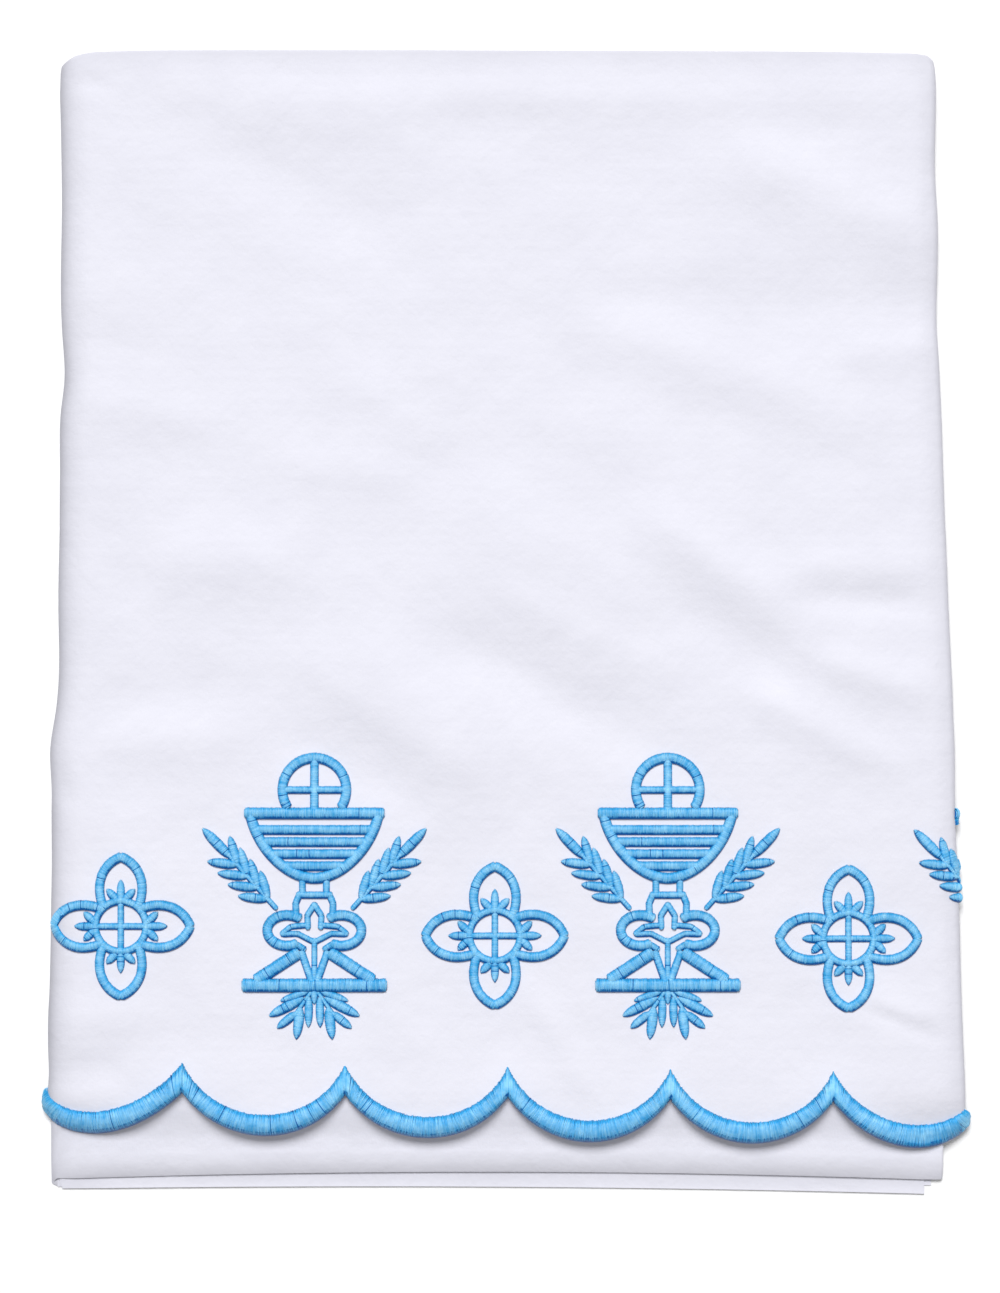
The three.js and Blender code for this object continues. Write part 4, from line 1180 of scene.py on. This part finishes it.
# %% Sewing a motif
def drape(x, y, height):
    """Lays flat points on the front of the top panel and round its side folds."""
    left, right = fold_middle("left", y, 0), fold_middle("right", y, 0)
    middle = np.clip(x, left, right)
    past = np.abs(x - middle)
    side = np.sign(x - middle)
    crease = crease_at(middle, y)
    over = STACK + crease
    second = panel_height("second", STRIP) + followed("second", 0) * crease
    under = np.where(side < 0, 0.0, second)
    radius = (over - under) / 2
    angle = past / radius
    round_fold = side != 0
    laid_x = middle + side * (radius + height) * np.sin(angle)
    turned = (over + under) / 2 + (radius + height) * np.cos(angle)
    lift = lift_at(middle, y)
    flat_z = over * swell_at(middle, y) + height + lift
    round_z = turned * swell_at(laid_x, y) + lift * (1 + np.cos(angle)) / 2
    laid_z = np.where(round_fold, round_z, flat_z)
    return np.column_stack([np.where(round_fold, laid_x, x), y, laid_z])


def sew(name, strokes, node, keep_up_to=math.inf, roll=None):
    """A piece of embroidery from its strokes, sewn by the tree and laid on the cloth."""
    points, edges = [], []
    values = {"half_width": [], "reach": [], "slant": [], "lift": []}
    for stroke in strokes:
        first, count = len(points), len(stroke["points"])
        points += [(x * MM, y * MM, 0.0) for x, y in stroke["points"]]
        edges += [(first + i, first + i + 1) for i in range(count - 1)]
        if stroke.get("closed"):
            edges.append((first + count - 1, first))
        values["half_width"] += list(stroke["half"] * MM)
        values["reach"] += list(stroke.get("reach", stroke["half"]) * MM)
        values["slant"] += list(stroke.get("slant", np.zeros(count)))
        values["lift"] += [stroke.get("lift", 0.0) * MM] * count
    mesh = bpy.data.meshes.new(name + "_lines")
    mesh.from_pydata(points, edges, [])
    for key, numbers in values.items():
        mesh.attributes.new(key, "FLOAT", "POINT").data.foreach_set("value", numbers)
    lines = bpy.data.objects.new(name + "_lines", mesh)
    bpy.context.collection.objects.link(lines)
    needle = lines.modifiers.new("needle", "NODES")
    needle.node_group = satin
    needle[satin_sockets["Stitch"]] = stitch_shape
    needle[satin_sockets["Thread"]] = blue_thread
    seen = lines.evaluated_get(bpy.context.evaluated_depsgraph_get())
    sewn = bpy.data.meshes.new_from_object(seen)
    bpy.data.objects.remove(lines)

    places = np.zeros(len(sewn.vertices) * 3)
    sewn.vertices.foreach_get("co", places)
    flat = places.reshape(-1, 3) / MM
    flat[:, 0] = np.minimum(flat[:, 0], keep_up_to)
    if roll:
        flat[:, 2] -= roll(flat[:, 0], flat[:, 1])
    laid = drape(flat[:, 0], flat[:, 1], flat[:, 2])
    sewn.vertices.foreach_set("co", (laid * MM).ravel())
    sewn.update()
    piece = bpy.data.objects.new(name, sewn)
    bpy.context.collection.objects.link(piece)
    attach(piece, "root")
    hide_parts(node)
    count = sum(len(face.vertices) - 2 for face in sewn.polygons)
    print(name, "has", count, "triangles")
    return piece


middle = np.zeros(1)
print("thread in the middle lies", round(float(drape(middle, middle, middle)[0, 2]), 1), "mm high")

# %% [markdown]
# ## Drawing strokes
# A stroke is a line of satin stitch with a width. A bar is straight, a ring is closed, and a leaf
# swells from a blunt start to a point. The ends of a bar are rounded a little, as the last
# stitches of a real one are shorter.

# %% Drawing strokes
STROKE_STEP = 0.5
ROUND_END, END_WIDTH = 0.5, 0.7
ARC_STEPS, CURVE_STEPS = 49, 33
# How far a stroke stands over the strokes that were sewn before it
LIFT = {"crossing": 0.1, "outline": 0.15, "ring": 0.2, "bar": 0.25}
LEAF_SHAPE = table("along half", [
    (0, 0.34), (0.1, 0.70), (0.3, 0.98), (0.56, 1.0), (0.8, 0.82), (0.93, 0.52), (1, 0.2),
])


def evenly(points):
    """Points at even steps along a line through the given ones."""
    points = np.array(points, float)
    gone = np.concatenate([[0], np.cumsum(np.hypot(*np.diff(points, axis=0).T))])
    count = max(3, math.ceil(gone[-1] / STROKE_STEP) + 1)
    at = np.linspace(0, gone[-1], count)
    return np.column_stack([np.interp(at, gone, points[:, k]) for k in range(2)]), at


def bar(points, width, lift=0.0):
    """A stroke of even width with slightly rounded ends."""
    line, at = evenly(points)
    from_end = np.minimum(at, at[-1] - at)
    half = width / 2 * mix(END_WIDTH, 1, np.sqrt(np.clip(from_end / ROUND_END, 0, 1)))
    return {"points": line, "half": half, "lift": lift}


def level_bar(half, y, width, lift=0.0):
    """A level bar that reaches as far to the left as to the right."""
    return bar([(-half, y), (half, y)], width, lift)


def arc(x, y, radius_x, radius_y, start, end):
    angles = np.radians(np.linspace(start, end, ARC_STEPS))
    return np.column_stack([x + radius_x * np.cos(angles), y + radius_y * np.sin(angles)])


def curve(corners):
    """A smooth curve with the first and last corner as its ends and the others pulling it."""
    a, b, c, d = np.array(corners, float)
    t = np.linspace(0, 1, CURVE_STEPS)[:, None]
    return (1 - t) ** 3 * a + 3 * (1 - t) ** 2 * t * b + 3 * (1 - t) * t**2 * c + t**3 * d


def leaf(x, y, angle, length, width, lift=0.0):
    turn = math.radians(angle)
    line, at = evenly([(x, y), (x + length * math.cos(turn), y + length * math.sin(turn))])
    half = width / 2 * read(LEAF_SHAPE, "along", at / length, "half")
    return {"points": line, "half": half, "lift": lift}


def moved(stroke, x=0.0, y=0.0, flip=False, quarter=0):
    """A stroke mirrored left to right, turned by quarters and moved."""
    points = stroke["points"].copy()
    if flip:
        points[:, 0] = -points[:, 0]
    for _ in range(quarter):
        points = np.column_stack([-points[:, 1], points[:, 0]])
    return {**stroke, "points": points + (x, y)}


print("strokes are drawn in steps of", STROKE_STEP, "mm")

# %% [markdown]
# ## The chalice
# The motif of a chalice with a host above it, on a foot with a spray of leaves, is common on church
# linen. It is drawn from its host's middle, as strokes of satin stitch: the left half is drawn and
# mirrored, and the cup is filled with bands.

# %% The chalice
HOST = {"radius": 13.1, "stroke": 4.1, "from": -34, "to": 214}
HOST_CROSS = {"upright": 3.6, "level": 2.9}
RIM = {"half": 28.5, "y": -9.6, "width": 4.6}
BOWL_CORNERS = [(-26.3, -10.0), (-23.6, -23.5), (-11.5, -36.2), (0, -36.2)]
BOWL_STROKE = 4.4
BAND_HEIGHTS = [-16.4, -21.35, -26.3, -31.25]
BAND_STROKE = 3.9
COLLAR = {"half": 7.2, "y": -43.1, "width": 2.8}
STEM = {"top": -61.0, "width": 2.5}
FOOT_BAR = {"half": 29.5, "y": -80.1, "width": 5.4}
# The left half between the bowl and the spray: the corners of each bar, its width and its lift
KNOT_AND_FOOT = {
    "neck": ([(-4.9, -36.5), (-4.9, -43.1)], 2.9, 0),
    "shoulder": ([(-6.2, -43.1), (-7.7, -46.6), (-7.4, -52.4)], 2.9, 0),
    "hollow": ([(0.3, -46.6), (-2.9, -51.6), (-2.6, -57.0)], 2.6, LIFT["crossing"]),
    "knot_top": ([(-2.4, -55.4), (-9.6, -56.0), (-13.6, -59.2)], 2.3, 0),
    "knot_bottom": ([(-13.6, -59.2), (-6.9, -58.9), (0.2, -62.6)], 2.3, 0),
    "knot": (arc(-11.2, -57.6, 8.1, 6.3, 48, 302), 4.1, LIFT["outline"]),
    "under_knot": ([(-7.6, -63.2), (-3.8, -65.6)], 2.7, 0),
    "stem_side": ([(-5.4, -66.2), (-0.5, -80.2)], 3.2, 0),
    "foot": ([(-6.2, -66.6), (-24.0, -78.2)], 5.2, LIFT["crossing"]),
    "stalk": ([(-0.4, -81.5), (-8.6, -93.2)], 1.8, 0),
}
SPRAY = table("x y angle length width", [
    (-2.6, -82.6, 199, 11.6, 3.2),
    (-4.6, -85.3, 208, 15.4, 4.2),
    (-7.4, -91.3, 219, 9.8, 3.5),
    (-5.6, -89.2, 262, 12.8, 4.2),
    (-2.2, -85.0, 269, 12.0, 3.5),
])
MIDDLE_LEAF = {"x": 0, "y": FOOT_BAR["y"], "angle": 270, "length": 7.5, "width": 3.0}


def bowl_half(y):
    side = curve(BOWL_CORNERS)
    return float(np.interp(-y, -side[:, 1], -side[:, 0]))


def chalice_bowl():
    """The bands that fill the bowl, its outline and its rim."""
    side = curve(BOWL_CORNERS)
    whole = np.concatenate([side, side[-2::-1] * (-1, 1)])
    bands = [level_bar(bowl_half(y), y, BAND_STROKE) for y in BAND_HEIGHTS]
    return [*bands, bar(whole, BOWL_STROKE, LIFT["outline"]), level_bar(**RIM, lift=LIFT["bar"])]


def chalice_strokes():
    """One chalice, in the order in which it is sewn."""
    radius = HOST["radius"]
    left_half = [bar(*part) for part in KNOT_AND_FOOT.values()]
    left_half += [leaf(*row) for row in zip(*SPRAY.values())]
    return [
        *left_half,
        *(moved(stroke, flip=True) for stroke in left_half),
        bar([(0, radius), (0, RIM["y"])], HOST_CROSS["upright"]),
        level_bar(radius, 0, HOST_CROSS["level"], LIFT["crossing"]),
        bar(arc(0, 0, radius, radius, HOST["from"], HOST["to"]), HOST["stroke"], LIFT["outline"]),
        *chalice_bowl(),
        bar([(0, STEM["top"]), (0, FOOT_BAR["y"])], STEM["width"]),
        leaf(**MIDDLE_LEAF),
        level_bar(**FOOT_BAR, lift=LIFT["bar"]),
        level_bar(**COLLAR, lift=LIFT["crossing"]),
    ]


CHALICES = {"chalice_left": (-78.8, -68.1), "chalice_right": (66.1, -68.1)}
for node, (x, y) in CHALICES.items():
    strokes = [moved(stroke, x, y) for stroke in chalice_strokes()]
    sew(node + "_stitches", strokes, node)

# %% [markdown]
# ## Ears of wheat
# On each side of a chalice stands an ear of wheat: a stem with pairs of grains and one at its tip.
# The ear is drawn for the left side and mirrored for the right. The last ear and a sliver of a
# third chalice run round the right fold, so their strokes end where the fold hides them.

# %% Ears of wheat
EAR = {"x": -15.5, "y": -48.8, "angle": 131.6, "length": 30.0, "stroke": 2.2, "pairs": 4}
GRAIN = {"start": 5.2, "step": 6.3, "width": 3.8}
LOW_GRAIN = {"turn": 42, "length": 12.1}
HIGH_GRAIN = {"turn": -26, "length": 11.9}
TIP_GRAIN = {"back": 1.5, "turn": 3, "length": 16, "width": 4.2}
FOLD_CHALICE = (212.9, -68.6)
STITCH_WRAP = math.radians(100)


def ear_point(gone):
    turn = math.radians(EAR["angle"])
    return EAR["x"] + math.cos(turn) * gone, EAR["y"] + math.sin(turn) * gone


def wheat_grain(pair, kind):
    start = ear_point(GRAIN["start"] + pair * GRAIN["step"])
    return leaf(*start, EAR["angle"] + kind["turn"], kind["length"], GRAIN["width"], LIFT["crossing"])


def ear_strokes(first_pair=0):
    stem = bar([ear_point(0), ear_point(EAR["length"])], EAR["stroke"])
    tip_start = ear_point(EAR["length"] - TIP_GRAIN["back"])
    tip_angle = EAR["angle"] + TIP_GRAIN["turn"]
    tip = leaf(*tip_start, tip_angle, TIP_GRAIN["length"], TIP_GRAIN["width"], LIFT["outline"])
    grains = []
    for pair in range(first_pair, EAR["pairs"]):
        grains += [wheat_grain(pair, LOW_GRAIN), wheat_grain(pair, HIGH_GRAIN)]
    return [stem, *grains, tip]


def cut_at(strokes, limit):
    """Strokes up to a place on the right fold, and nothing of those beyond it."""
    kept = []
    for stroke in strokes:
        inside = stroke["points"][:, 0] <= limit
        if inside.sum() < 2:
            continue
        first, last = np.flatnonzero(inside)[[0, -1]]
        part = slice(first, last + 1)
        kept.append({**stroke, "points": stroke["points"][part], "half": stroke["half"][part]})
    return kept


number = 0
for x, y in CHALICES.values():
    for flip in (False, True):
        number += 1
        strokes = [moved(stroke, x, y, flip) for stroke in ear_strokes()]
        sew(f"wheat_ear_{number}_stitches", strokes, f"wheat_ear_{number}")

fold_limit = float(fold_middle("right", -100.0, 0)) + STITCH_WRAP * RIGHT_RADIUS[0]
for node, strokes in {
    "chalice_fold": chalice_bowl(),
    "wheat_ear_5": ear_strokes(1),
    "wheat_ear_5_grain": [wheat_grain(0, LOW_GRAIN)],
}.items():
    placed = [moved(stroke, *FOLD_CHALICE) for stroke in strokes]
    sew(node + "_stitches", cut_at(placed, fold_limit), node, fold_limit)

# %% [markdown]
# ## The crosses
# Between the chalices stand crosses of four petals, each one quarter of the same drawing: a petal,
# and three small leaves inside it, round a ring with a plain cross in it.

# %% The crosses
RING = {"radius": 10.4, "stroke": 3.1}
RING_CROSS = {"level": 2.6, "upright": 2.75}
PETAL_CORNERS = [(-7.0, 7.6), (-10.8, 16.5), (-8.2, 25.5), (0.3, 28.6)]
PETAL_STROKE = 3.9
SIDE_LEAF = {"x": -1.2, "y": 10.4, "angle": 134, "length": 6.4, "width": 3.4}
TOP_LEAF = {"x": 0, "y": 9.4, "angle": 90, "length": 9.4, "width": 3.4}
END_BAR = {"y": 10.6, "half": 3.4, "stroke": 1.7}
CROSSES = {
    "cross_left": (-158.1, -124.0),
    "cross_middle": (-4.8, -127.9),
    "cross_right": (140.2, -129.1),
}


def cross_strokes():
    """One cross: its four quarters, and the ring with a plain cross in it."""
    side = leaf(**SIDE_LEAF)
    petal = bar(curve(PETAL_CORNERS), PETAL_STROKE, LIFT["outline"])
    quarter = [side, moved(side, flip=True), leaf(**TOP_LEAF), petal, moved(petal, flip=True)]
    radius = RING["radius"]
    ring = arc(0, 0, radius, radius, 0, 360)[:-1]
    ring_half = np.full(len(ring), RING["stroke"] / 2)
    return [
        *(moved(stroke, quarter=turn) for turn in range(4) for stroke in quarter),
        *(level_bar(END_BAR["half"], y, END_BAR["stroke"]) for y in (-END_BAR["y"], END_BAR["y"])),
        level_bar(radius, 0, RING_CROSS["level"]),
        bar([(0, -radius), (0, radius)], RING_CROSS["upright"], LIFT["crossing"]),
        {"points": ring, "half": ring_half, "lift": LIFT["ring"], "closed": True},
    ]


for node, (x, y) in CROSSES.items():
    strokes = [moved(stroke, x, y) for stroke in cross_strokes()]
    sew(node + "_stitches", strokes, node)

# %% [markdown]
# ## The scalloped border
# The border is one long row of stitches across the edge, which turns round both side folds. Its
# stitches stand square to the arc, and near a cusp they turn upright, so that two scallops meet in
# a clean mitre. At the edge they roll down round the cloth.

# %% The scalloped border
EDGE_ROLL, EDGE_ROLL_WIDTH = 1.3, 2.6
CUSP_GAP = 0.01
# From where to where the stitches turn upright: 0 is a scallop's lowest point and 1 its cusp
UPRIGHT = (0.72, 0.99)


def border_strokes():
    """One stroke of stitches for each scallop, so that the stitches at a cusp keep their side."""
    left, right = (float(end) for end in panel_limits("top", REFERENCE_Y, 0))
    start = left - STITCH_WRAP * LEFT_RADIUS[0]
    end = right + STITCH_WRAP * RIGHT_RADIUS[0]
    first = math.floor((start - CUSP_X) / SCALLOP)
    strokes = []
    for number in range(first, math.ceil((end - CUSP_X) / SCALLOP)):
        cusp = CUSP_X + SCALLOP * number
        low, high = max(start, cusp + CUSP_GAP), min(end, cusp + SCALLOP - CUSP_GAP)
        along = np.linspace(low, high, math.ceil((high - low) / STROKE_STEP) + 1)
        x = np.clip(along, left, right)
        outer, inner = border_outer(x, along), border_inner(x, along)
        middle = (outer + inner) / 2
        slope = np.arctan(np.gradient(middle, along))
        upright = smooth_step(np.abs(scallop_place(along)), *UPRIGHT)
        half = (inner - outer) / 2 * np.cos(slope)
        slant = -slope * upright
        strokes.append({
            "points": np.column_stack([along, middle]),
            "half": half,
            "reach": half / np.cos(slant),
            "slant": slant,
        })
    return strokes


def edge_roll(x, y):
    """How far the stitches roll down round the scalloped edge of the cloth."""
    from_edge = y - border_outer(x, x)
    return EDGE_ROLL * np.clip(1 - from_edge / EDGE_ROLL_WIDTH, 0, 1) ** 2


sew("border_stitches", border_strokes(), "scalloped_border", roll=edge_roll)

# %% [markdown]
# ## The flat size
# Unfolded, the cloth is about 1.49 m along its scalloped edge and 0.91 m deep. The one stitch that
# the tree repeated is no longer needed, so it is removed.

# %% The flat size
bpy.data.objects.remove(stitch_shape)
